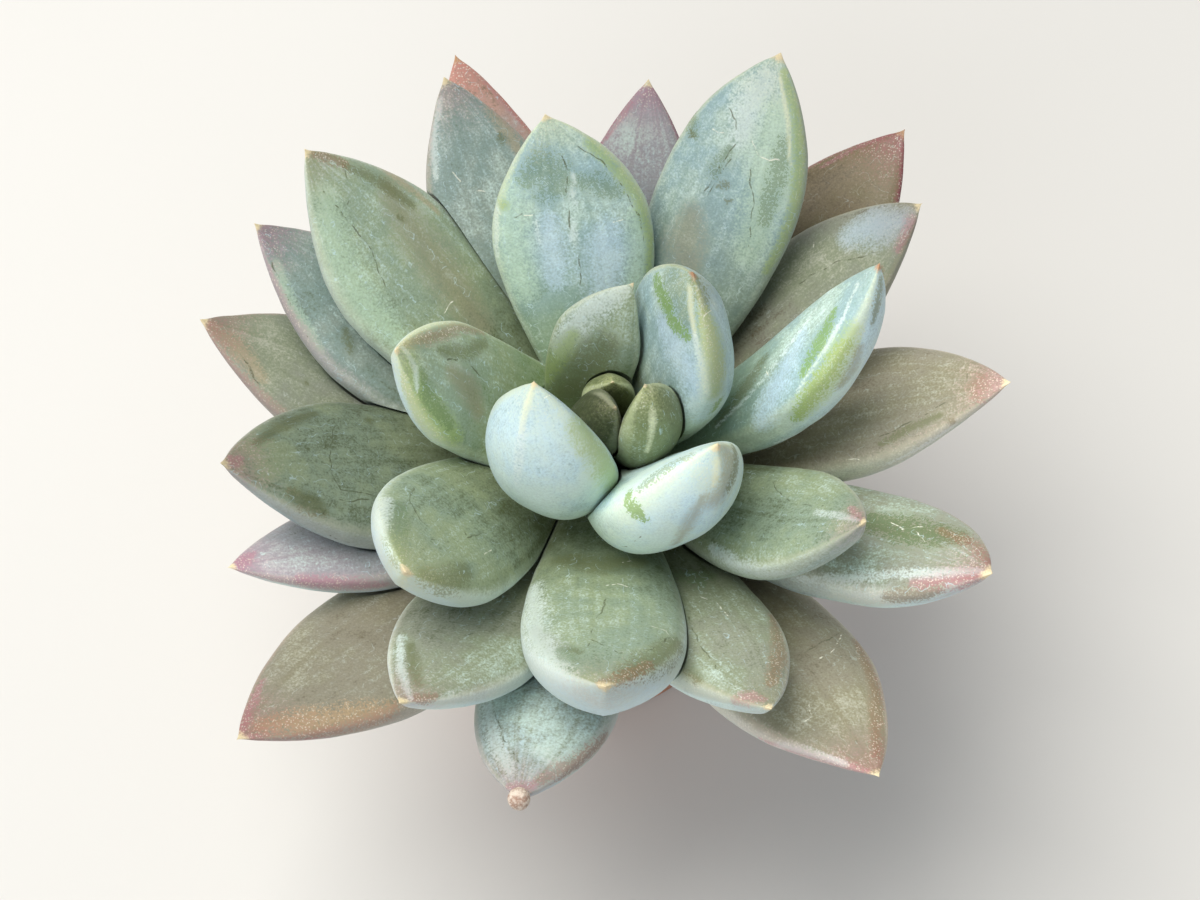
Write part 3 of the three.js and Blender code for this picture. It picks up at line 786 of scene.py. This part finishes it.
def pixel_direction(x, y):
    """The way from the camera through one of the photograph's pixels."""
    ahead = (Vector(CAMERA_TARGET) - camera_place()).normalized()
    right = Vector((1, 0, 0))
    focal = PIXELS_PER_MM * CAMERA_DISTANCE
    upward = right.cross(ahead)
    aside = right * (x - PHOTO_WIDTH / 2) + upward * (PHOTO_HEIGHT / 2 - y)
    return (ahead + aside / focal).normalized()


def traced(tree, middle, path):
    """The points of a leaf's surface, in millimetres, that lie under a path of pixels."""
    eye = camera_place()
    far = (middle - eye).length
    found = []
    for x, y in path:
        way = pixel_direction(x, y)
        hit = tree.ray_cast(eye, way)[0] or tree.find_nearest(eye + way * far)[0]
        found.append(np.array(hit))
    return found


def depth_in_mark(points, path, reach):
    """How deep each point lies in a mark: 1 on its path, and 0 beyond twice its reach.

    A mark narrows toward both ends of its path.
    """
    depth = np.zeros(len(points))
    stretches = len(path) - 1
    for i in range(stretches):
        span = path[i + 1] - path[i]
        share = np.clip((points - path[i]) @ span / (span @ span), 0, 1)
        distance = np.linalg.norm(points - path[i] - share[:, None] * span, axis=1)
        taper = MARK_END_WIDTH + (1 - MARK_END_WIDTH) * np.sin(math.pi * (i + share) / stretches)
        depth = np.maximum(depth, 1 - distance / (2 * reach * taper))
    return depth


def paint_leaf(made, order):
    """Lays the leaf's soft marks on its points, and returns the paths of its thin lines."""
    points = np.array([vertex.co / MM for vertex in made.data.vertices])
    tree = BVHTree.FromPolygons(points.tolist(), [tuple(face.vertices) for face in made.data.polygons])
    middle = Vector(points.mean(0))
    layers = {}
    lines = {"hairline": [], "scratch": []}
    for mark in MARKS:
        if mark.leaf != order:
            continue
        path = traced(tree, middle, mark.path)
        if mark.kind in lines:
            lines[mark.kind].append(path)
            continue
        depth = depth_in_mark(points, path, mark.reach)
        layers[mark.kind] = np.maximum(layers.get(mark.kind, 0), depth)
    for kind, values in layers.items():
        set_attribute(made.data, kind, values)
    return list(layers), lines


def make_knob():
    """The small corky knob on one leaf's tip."""
    turn, reach, height = LEAVES[KNOB_LEAF - 1].tip
    tip = Vector(horizontal(turn) * reach) + Vector((0, 0, height))
    shape = bmesh.new()
    bmesh.ops.create_icosphere(shape, subdivisions=5, radius=KNOB_RADIUS)
    for vert in shape.verts:
        wrinkles = smooth_noise(vert.co, KNOB_WRINKLE_SIZE) + 0.5 * smooth_noise(vert.co, KNOB_CRUMB_SIZE)
        vert.co *= KNOB_CORE + KNOB_WRINKLES * wrinkles
        vert.co = (vert.co + tip) * MM
    mesh = mesh_from("knob_cork", shape)
    shade_smooth(mesh)
    return link_object("knob_cork", mesh)


def overlap(a, b):
    return np.all(a.min(0) < b.max(0)) and np.all(b.min(0) < a.max(0))


def make_leaves(stem_cutter):
    """Every leaf, pressed clear of the stem and of every leaf nearer the heart."""
    leaves = []
    cutters = [stem_cutter]
    for order, leaf in enumerate(LEAVES, 1):
        name = leaf_name(order) + "_wax"
        made, points, blade = make_blank(name, leaf, order, 0, LEAF_SIDES, LEAF_RINGS, SKIN_WAVES)
        for cutter, cutter_points in cutters:
            if overlap(points, cutter_points):
                cut = made.modifiers.new("pressed", "BOOLEAN")
                cut.operation = "DIFFERENCE"
                cut.solver = "MANIFOLD"
                cut.object = cutter
        apply_modifiers(made)
        keep_largest(made)
        copy_blade(made, points, blade)
        made.data.materials.clear()
        shade_smooth(made.data)
        made.data.set_sharp_from_angle(angle=math.radians(CREASE_ANGLE))
        grown, grown_points, _ = make_blank("cutter", leaf, order, GAP, CUTTER_SIDES, CUTTER_RINGS)
        cutters.append((grown, grown_points))
        leaves.append(made)
    for cutter, _ in cutters:
        bpy.data.objects.remove(cutter)
    return leaves


def stem_skin(clearance, sides, rings):
    """The stem's points: an even shaft that rounds off to its growing point."""
    shaft = np.linspace(STEM_FOOT - clearance, STEM_SHOULDER, rings // 2, endpoint=False)
    dome = STEM_SHOULDER + (STEM_TOP - STEM_SHOULDER) * np.sin(
        math.pi / 2 * np.linspace(0, 1, rings - rings // 2, endpoint=False)
    )
    heights = np.concatenate([shaft, dome])
    angles = around(sides)
    ring = np.stack([np.cos(angles), np.sin(angles), np.zeros(sides)], -1)
    points = ring[None] * (stem_radius(heights) + clearance)[:, None, None]
    points[..., 2] = heights[:, None]
    return np.vstack([(0, 0, heights[0]), points.reshape(-1, 3), (0, 0, STEM_TOP + clearance)])


def make_stem():
    points = stem_skin(0, STEM_SIDES, STEM_RINGS)
    relief = [smooth_noise(p * (1, 1, BARK_STRETCH), BARK_GRAIN) for p in points]
    outward = points * (1, 1, 0)
    outward = outward / np.maximum(np.linalg.norm(outward, axis=1, keepdims=True), 0.1)
    points = points - outward * (BARK_DEPTH + BARK_DEPTH * np.array(relief))[:, None]
    return make_object("stem_bark", points, capped_faces(STEM_RINGS, STEM_SIDES))


def make_stem_cutter():
    points = stem_skin(GAP, STEM_SIDES, STEM_RINGS)
    return make_object("stem_cutter", points, capped_faces(STEM_RINGS, STEM_SIDES)), points


def rounded(corners, radius, steps=5, share=0.45):
    """A closed outline with curved corners, each of which takes at most a share of a side."""
    outline = []
    count = len(corners)
    for i, corner in enumerate(corners):
        corner = np.array(corner, float)
        before = np.array(corners[i - 1], float) - corner
        after = np.array(corners[(i + 1) % count], float) - corner
        reach = min(radius, share * np.linalg.norm(before), share * np.linalg.norm(after))
        start = corner + unit(before) * reach
        end = corner + unit(after) * reach
        for step in range(steps + 1):
            t = step / steps
            outline.append(start * (1 - t) ** 2 + corner * 2 * t * (1 - t) + end * t**2)
    return np.array(outline)


def pot_wall_radius(height):
    return POT_BASE_RADIUS + (POT_RIM_RADIUS - RIM_BAND_STEP - POT_BASE_RADIUS) * height / POT_HEIGHT


def make_pot():
    band_foot = POT_HEIGHT - RIM_BAND_HEIGHT
    corners = [
        (DRAIN_HOLE_RADIUS, 0),
        (POT_BASE_RADIUS, 0),
        (pot_wall_radius(band_foot), band_foot),
        (POT_RIM_RADIUS - RIM_BAND_SLOPE, band_foot),
        (POT_RIM_RADIUS, POT_HEIGHT),
        (pot_wall_radius(POT_HEIGHT) - POT_WALL, POT_HEIGHT),
        (pot_wall_radius(POT_FLOOR) - POT_WALL, POT_FLOOR),
        (DRAIN_HOLE_RADIUS, POT_FLOOR),
    ]
    outline = subdivided(rounded(corners, POT_ROUNDING), POT_SPACING)
    angles = around(POT_SIDES)
    points = np.zeros((len(outline), POT_SIDES, 3))
    points[..., 0] = outline[:, None, 0] * np.cos(angles)
    points[..., 1] = outline[:, None, 0] * np.sin(angles)
    points[..., 2] = outline[:, None, 1]
    return make_object("pot_clay", points.reshape(-1, 3), looped_faces(len(outline), POT_SIDES))


def subdivided(outline, spacing):
    """A closed outline with points added along its long stretches."""
    result = []
    for start, end in zip(outline, np.roll(outline, -1, axis=0)):
        pieces = max(1, math.ceil(np.linalg.norm(end - start) / spacing))
        for step in range(pieces):
            result.append(start + (end - start) * step / pieces)
    return np.array(result)


def soil_height(x, y):
    """Low mounds with a crumbly surface."""
    mound = math.sin(0.45 * x + 0.9) * math.cos(0.38 * y - 0.4)
    ripple = math.sin(1.1 * x - 0.8 * y)
    crumbs = 0.28 * smooth_noise((x, y, 0), 1.3) + 0.16 * smooth_noise((x, y, 9), 0.6)
    return SOIL_TOP + SOIL_BUMP * (0.8 * mound + 0.2 * ripple + crumbs)


def make_soil():
    foot = POT_FLOOR + GAP
    wall = pot_wall_radius(SOIL_TOP) - POT_WALL - GAP
    edge = wall - SOIL_BUMP / 2
    hole = STEM_RADIUS + GAP
    profile = [(edge, SOIL_TOP - SOIL_SHOULDER), (pot_wall_radius(foot) - POT_WALL - GAP, foot), (hole, foot)]
    radii = np.linspace(hole, edge, SOIL_RINGS)
    angles = around(SOIL_SIDES)
    points = []
    for radius in radii:
        for angle in angles:
            x = radius * math.cos(angle)
            y = radius * math.sin(angle)
            points.append((x, y, soil_height(x, y)))
    for radius, height in profile:
        points.extend((radius * math.cos(a), radius * math.sin(a), height) for a in angles)
    rings = SOIL_RINGS + len(profile)
    faces = [face[::-1] for face in looped_faces(rings, SOIL_SIDES)]
    return make_object("soil_crumbs", points, faces)


def make_grit():
    """Small stones, bark and pumice scattered over the soil."""
    draw = random.Random(GRIT_SEED)
    shape = bmesh.new()
    tints = []
    wall = pot_wall_radius(SOIL_TOP) - POT_WALL - GAP
    for _ in range(GRIT_COUNT):
        radius = math.sqrt(draw.uniform((STEM_RADIUS + GRIT_STEM_ROOM) ** 2, (wall - GRIT_WALL_ROOM) ** 2))
        angle = draw.uniform(0, 2 * math.pi)
        size = draw.uniform(*GRIT_SIZES) * draw.uniform(*GRIT_SPREAD)
        x = radius * math.cos(angle)
        y = radius * math.sin(angle)
        place = Matrix.Translation(Vector((x, y, soil_height(x, y) + GRIT_LIFT * size)) * MM)
        turn = Matrix.Rotation(draw.uniform(0, math.pi), 4, Vector((draw.random(), draw.random(), 1)))
        stretch = Matrix.Diagonal((*(draw.uniform(*span) for span in GRIT_STRETCH), 1))
        made = bmesh.ops.create_icosphere(shape, subdivisions=1, radius=size * MM)
        for vert in made["verts"]:
            vert.co *= 1 + GRIT_DENTS * noise.noise(vert.co * GRIT_DENTS_PER_METRE + Vector((x, y, 0)))
            vert.co = place @ turn @ stretch @ vert.co
        tints.extend([draw.random()] * len(made["verts"]))
    mesh = mesh_from("soil_grit", shape)
    set_attribute(mesh, "tint", tints)
    return link_object("soil_grit", mesh)


# Materials


class Shader:
    """Builds one material's nodes."""

    def __init__(self, name):
        self.material = bpy.data.materials.new(name)
        self.material.use_nodes = True
        self.tree = self.material.node_tree
        self.tree.nodes.clear()

    def put(self, socket, value):
        if isinstance(value, bpy.types.NodeSocket):
            self.tree.links.new(value, socket)
        elif socket.type == "RGBA":
            socket.default_value = (*value, 1)
        else:
            socket.default_value = value

    def node(self, kind, values=(), **settings):
        made = self.tree.nodes.new(kind)
        for key, value in settings.items():
            setattr(made, key, value)
        for key, value in dict(values).items():
            self.put(made.inputs[key], value)
        return made

    def math(self, operation, *values, clamp=False):
        return self.node("ShaderNodeMath", enumerate(values), operation=operation, use_clamp=clamp).outputs[0]

    def vector(self, operation, *values, output=0):
        return self.node("ShaderNodeVectorMath", enumerate(values), operation=operation).outputs[output]

    def swing(self, value, amount):
        """Turns noise about one half into a change of so much either way."""
        return self.math("MULTIPLY_ADD", value, amount, -amount / 2)

    def line_distance(self, place, path):
        """How far a place is from the nearest stretch of a path."""
        nearest = 1000.0
        for start, end in zip(path, path[1:]):
            span = end - start
            reached = self.vector("SUBTRACT", place, tuple(start))
            share = self.vector("DOT_PRODUCT", reached, tuple(span / (span @ span)), output=1)
            share = self.math("ADD", share, 0.0, clamp=True)
            foot = self.vector("MULTIPLY", tuple(span), share)
            nearest = self.math("MINIMUM", nearest, self.vector("DISTANCE", reached, foot, output=1))
        return nearest

    def add(self, *values):
        total = values[0]
        for value in values[1:]:
            total = self.math("ADD", total, value)
        return total

    def times(self, *values):
        total = values[0]
        for value in values[1:]:
            total = self.math("MULTIPLY", total, value)
        return total

    def step(self, value, low, high):
        """Rises smoothly from 0 where value is low to 1 where it is high."""
        settings = {0: value, 1: low, 2: high, 3: 0.0, 4: 1.0}
        return self.node("ShaderNodeMapRange", settings, interpolation_type="SMOOTHSTEP").outputs[0]

    def mix(self, factor, first, second):
        values = {0: factor, 6: first, 7: second}
        return self.node("ShaderNodeMix", values, data_type="RGBA").outputs[2]

    def noise(self, point, scale, detail=2.0, roughness=0.5):
        values = {"Vector": point, "Scale": scale, "Detail": detail, "Roughness": roughness}
        return self.node("ShaderNodeTexNoise", values).outputs[0]

    def place(self, stretch=(1000, 1000, 1000), shift=(0, 0, 0)):
        """The surface's own place in millimetres."""
        source = self.node("ShaderNodeTexCoord").outputs["Object"]
        values = {0: source, 1: stretch, 2: shift}
        return self.node("ShaderNodeVectorMath", values, operation="MULTIPLY_ADD").outputs[0]

    def attribute(self, name, output):
        return self.node("ShaderNodeAttribute", attribute_name=name).outputs[output]

    def bump(self, height, distance, strength):
        values = {"Height": height, "Distance": distance * MM, "Strength": strength}
        return self.node("ShaderNodeBump", values).outputs[0]

    def finish(self, colour, roughness, normal, **constants):
        """Joins the shader's varying inputs, and sets the constant ones by socket name."""
        values = {"Base Color": colour, "Roughness": roughness, "Normal": normal}
        values.update({key.replace("_", " "): value for key, value in constants.items()})
        shader = self.node("ShaderNodeBsdfPrincipled", values)
        output = self.node("ShaderNodeOutputMaterial")
        self.tree.links.new(shader.outputs[0], output.inputs[0])
        return self.material


class LeafShader(Shader):
    """A leaf's material, with the patterns that its layers share."""

    def __init__(self, order):
        super().__init__(leaf_name(order) + "_skin")
        self.surface = self.place()
        self.shifted = self.place(shift=(PATTERN_SHIFT * order, 0, 0))
        blade = self.attribute("blade", "Vector")
        across, self.along, above = self.node("ShaderNodeSeparateXYZ", {0: blade}).outputs
        self.across = self.math("ABSOLUTE", across)
        self.flank = self.step(above, 0.17, -0.04)
        self.broad = self.noise(self.shifted, 0.1, 2)
        self.patchy = self.noise(self.shifted, 0.42, 3, 0.6)
        self.grain = self.noise(self.shifted, 1.7, 2, 0.65)
        self.specks = self.noise(self.shifted, 3.7, 1, 0.6)
        stretched = self.vector("MULTIPLY_ADD", blade, (9, 1.3, 0), (order, 0, 0))
        self.streaks = self.noise(stretched, 1, 2, 0.6)
        self.fray = self.add(
            self.swing(self.patchy, 0.6), self.swing(self.grain, 0.8), self.swing(self.specks, 1.5)
        )


def bloom_cover(s, look):
    """How thick the bloom lies, in grains where it thins out."""
    return s.add(
        look.cover - 0.11,
        s.swing(s.broad, 0.8),
        s.swing(s.patchy, 0.5),
        s.swing(s.streaks, 0.5),
        s.swing(s.grain, 0.45),
        s.swing(s.specks, 0.5),
        s.times(s.step(s.along, 0.1, 0.7), 0.22),
        s.times(s.flank, look.rim),
    )


def waxed(s, look, cover):
    """The leaf's colour before any mark, and the bloom's own colour."""
    drift = s.step(s.add(s.broad, s.swing(s.patchy, 0.5)), 0.35, 0.65)
    bloom = s.mix(drift, *look.bloom)
    colour = s.mix(s.step(cover, 0.0, 0.5), look.flesh, s.mix(drift, *look.wax))
    colour = s.mix(s.step(cover, 0.5, 1.1), colour, bloom)

    # The margins shine through a little, and the flanks are paler: thicker bloom with a painted highlight
    # where light falls across them
    edge = s.step(s.add(s.across, s.swing(s.grain, 0.1)), 0.88, 1.0)
    colour = s.mix(s.times(edge, MARGIN_STRENGTH), colour, MARGIN)
    colour = s.mix(s.times(s.flank, FLANK_BLOOM_AND_HIGHLIGHT_STRENGTH * look.rim), colour, FLANK_BLOOM_AND_HIGHLIGHT)

    # Painted shade: toward the root a leaf is mixed toward its darker, greener flesh colour, for the shade
    # where the leaves crowd round the heart
    deep = s.step(s.add(s.along, s.swing(s.patchy, 0.3)), 0.72, 0.15)
    colour = s.mix(s.times(deep, ROOT_SHADE_STRENGTH), colour, look.flesh)
    return colour, bloom


def marked(s, colour, layers):
    """Lays soft marks with frayed edges, painted highlights and painted shade among them, and also returns
    where they call for pores.
    """
    warm = 0.0
    for kind in layers:
        paint = PAINTS[kind]
        depth = s.attribute(kind, "Fac")
        frayed = s.add(depth, s.times(s.fray, paint.frayed))
        amount = s.times(s.step(frayed, 0.5 - paint.soft, 0.5 + paint.soft), paint.strength)
        amount = s.times(amount, s.step(depth, 0.0, 0.4))
        colour = s.mix(amount, colour, paint.colour)
        if kind in PORED_PAINTS:
            warm = s.math("MAXIMUM", warm, amount)
    return colour, warm


def blushed(s, look, colour, warm):
    """Adds blush along the margins and at the tip, pale pores in it, and a dry nib."""
    rim = s.step(s.add(s.across, s.times(s.fray, 0.12)), 0.86, 1.0)
    rim = s.times(rim, s.step(s.along, 0.3, 0.9), look.margin)
    end = s.times(s.step(s.add(s.along, s.times(s.fray, 0.12)), 0.84, 1.02), look.tip)
    blush = s.math("MAXIMUM", rim, end)
    colour = s.mix(blush, colour, look.blush)
    warm = s.math("MAXIMUM", warm, blush)
    pores = s.node("ShaderNodeTexVoronoi", {"Vector": s.shifted, "Scale": 3.2}).outputs[0]
    pores = s.times(s.step(pores, 0.4, 0.2), s.step(s.patchy, 0.36, 0.52), s.add(0.06, warm), 0.8)
    colour = s.mix(pores, colour, PORE)
    return s.mix(s.step(s.add(s.along, s.times(s.fray, 0.01)), 0.974, 0.99), colour, look.nib)


def lined(s, colour, bloom, lines):
    """Adds fine pale threads all over, and the thin lines of the leaf's marks."""
    warp = s.node("ShaderNodeTexNoise", {"Vector": s.shifted, "Scale": 0.45, "Detail": 1.5}).outputs[1]
    level = s.node("ShaderNodeSeparateXYZ", {0: warp}).outputs[0]
    contour = s.math("ABSOLUTE", s.math("SUBTRACT", level, 0.5))
    threads = s.times(s.step(contour, 0.009, 0.003), s.step(s.streaks, 0.48, 0.56), 0.5)
    colour = s.mix(threads, colour, bloom)
    centred = s.vector("SUBTRACT", s.surface, (LINE_WOBBLE / 2,) * 3)
    wobbly = s.vector("MULTIPLY_ADD", warp, (LINE_WOBBLE,) * 3, centred)
    for kind, reach, tint, strength in (HAIRLINE, SCRATCH):
        for path in lines[kind]:
            drawn = s.step(s.line_distance(wobbly, path), reach, reach * 0.3)
            drawn = s.times(drawn, s.step(s.add(s.patchy, s.specks), 0.8, 1.0), strength)
            colour = s.mix(drawn, colour, tint)
    return colour


def leaf_material(order, look, layers, lines):
    s = LeafShader(order)
    cover = bloom_cover(s, look)
    colour, bloom = waxed(s, look, cover)
    colour, warm = marked(s, colour, layers)
    colour = blushed(s, look, colour, warm)
    colour = lined(s, colour, bloom, lines)
    # The leaf's shade scales its whole colour, with a fine speckle: its own tone together with painted light
    # and shade
    shade = s.math("MULTIPLY_ADD", s.specks, 0.3 * look.shade, 0.88 * look.shade)
    return s.finish(
        s.vector("MULTIPLY", colour, shade),
        s.add(0.42, s.times(s.step(cover, 0.2, 1.0), 0.2)),
        s.bump(s.add(s.grain, s.times(s.specks, 0.5)), 0.05, 0.6),
        Subsurface_Weight=0.1,
        Subsurface_Radius=(1.0, 1.0, 0.5),
        Subsurface_Scale=0.0012,
        Specular_IOR_Level=0.38,
        Sheen_Weight=0.05,
        Sheen_Roughness=0.4,
    )


def cork_material():
    s = Shader("knob_cork")
    place = s.place()
    grain = s.noise(place, 1.3, 3, 0.6)
    fine = s.noise(place, 5, 2)
    colour = s.mix(s.step(grain, 0.38, 0.62), CORK_BROWN, CORK_PALE)
    colour = s.mix(s.times(s.step(fine, 0.5, 0.7), 0.4), colour, CORK_DUST)
    return s.finish(colour, 0.8, s.bump(s.add(grain, s.times(fine, 0.4)), 0.25, 0.9))


def clay_material():
    s = Shader("fired_clay")
    place = s.place()
    broad = s.noise(place, 0.05, 3)
    grain = s.noise(place, 1.6, 4, 0.7)
    fine = s.noise(place, 6, 2)
    turned = s.noise(s.place(stretch=(60, 60, 2600)), 1, 2)
    colour = s.mix(s.step(broad, 0.3, 0.7), CLAY_DEEP, CLAY_WARM)
    colour = s.mix(s.times(s.step(grain, 0.5, 0.72), 0.35), colour, CLAY_PALE)
    lime = s.times(s.step(s.add(broad, s.times(grain, 0.4)), 0.72, 0.95), 0.5)
    colour = s.mix(lime, colour, CLAY_LIME)
    height = s.add(s.times(grain, 0.5), s.times(fine, 0.25), s.times(turned, 0.4))
    return s.finish(colour, s.add(0.72, s.times(grain, 0.2)), s.bump(height, 0.14, 0.7))


def soil_material():
    s = Shader("potting_soil")
    place = s.place()
    grain = s.noise(place, 1.1, 5, 0.7)
    fine = s.noise(place, 4, 3, 0.6)
    colour = s.mix(s.step(grain, 0.35, 0.65), SOIL_DARK, SOIL_BROWN)
    colour = s.mix(s.times(s.step(fine, 0.6, 0.7), 0.5), colour, SOIL_FIBRE)
    return s.finish(colour, s.add(0.8, s.times(fine, 0.15)), s.bump(s.add(grain, fine), 0.4, 0.9))


def grit_material():
    s = Shader("grit")
    place = s.place()
    tint = s.attribute("tint", "Fac")
    fine = s.noise(place, 5, 3, 0.6)
    colour = s.mix(s.step(tint, 0.5, 0.56), GRIT_BARK, GRIT_STONE)
    colour = s.mix(s.step(tint, 0.78, 0.82), colour, GRIT_PUMICE)
    colour = s.mix(s.times(s.step(fine, 0.45, 0.65), 0.4), colour, GRIT_DIRT)
    return s.finish(colour, s.add(0.75, s.times(fine, 0.2)), s.bump(fine, 0.15, 0.8))


def bark_material():
    s = Shader("stem_bark")
    place = s.place(stretch=(1000, 1000, 1000 * BARK_STRETCH))
    height = s.node("ShaderNodeSeparateXYZ", {0: s.place()}).outputs[2]
    grain = s.noise(place, 0.7, 4, 0.65)
    fine = s.noise(place, 3.5, 2)
    colour = s.mix(s.step(grain, 0.35, 0.65), BARK_DARK, BARK_PALE)
    green = s.times(s.step(s.add(height, s.times(grain, 8)), 50, 60), 0.8)
    colour = s.mix(green, colour, BARK_GREEN)
    normal = s.bump(s.add(grain, s.times(fine, 0.4)), 0.3, 0.8)
    return s.finish(colour, s.add(0.7, s.times(fine, 0.2)), normal)


def floor_material():
    s = Shader("studio_floor")
    tone = s.noise(s.place(), 0.01, 2)
    colour = s.mix(tone, *FLOOR_TONES)
    return s.finish(colour, 0.7, s.bump(tone, 0.01, 0.1))


# Scene


def dress(made, material, slot, *nodes):
    """Gives a piece its material, and puts it on the part's one body in place of its nodes."""
    made.data.materials.append(material)
    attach(made, "root")
    if nodes:
        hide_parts(*nodes)


def make_floor():
    corners = [(x * FLOOR_REACH, y * FLOOR_REACH, 0) for x, y in ((-1, -1), (1, -1), (1, 1), (-1, 1))]
    floor = make_object("studio_floor", corners, [(0, 1, 2, 3)])
    floor.data.materials.append(floor_material())


def aim(made, place, target):
    made.location = Vector(place) * MM
    direction = Vector(target) * MM - made.location
    made.rotation_euler = direction.to_track_quat("-Z", "Y").to_euler()


def make_light(name, place, size, power, colour):
    data = bpy.data.lights.new(name, "AREA")
    data.shape = "DISK"
    data.size = size * MM
    data.energy = power
    data.color = colour
    aim(link_object(name, data), place, LIGHT_TARGET)


def make_lights():
    for light in LIGHTS:
        make_light(*light)
    world = bpy.data.worlds.new("studio")
    world.use_nodes = True
    background = world.node_tree.nodes["Background"]
    background.inputs[0].default_value = SKY_COLOUR
    background.inputs[1].default_value = SKY_STRENGTH
    bpy.context.scene.world = world


def make_camera():
    data = bpy.data.cameras.new("camera")
    data.sensor_width = SENSOR_WIDTH
    data.lens = SENSOR_WIDTH * PIXELS_PER_MM * CAMERA_DISTANCE / PHOTO_WIDTH
    data.clip_start, data.clip_end = CLIP_METRES
    made = link_object("camera", data)
    aim(made, camera_place(), CAMERA_TARGET)
    bpy.context.scene.camera = made


make_camera()
make_lights()
make_floor()

dress(make_pot(), clay_material(), "clay", "pot")
dress(make_soil(), soil_material(), "soil", "soil")
dress(make_grit(), grit_material(), "soil")
dress(make_stem(), bark_material(), "stem", "stem")

for order, made in enumerate(make_leaves(make_stem_cutter()), 1):
    layers, lines = paint_leaf(made, order)
    skin = leaf_material(order, LOOKS[order - 1], layers, lines)
    dress(made, skin, "leaf", leaf_name(order))

dress(make_knob(), cork_material(), "leaf")

bpy.context.scene.view_settings.view_transform = "Standard"
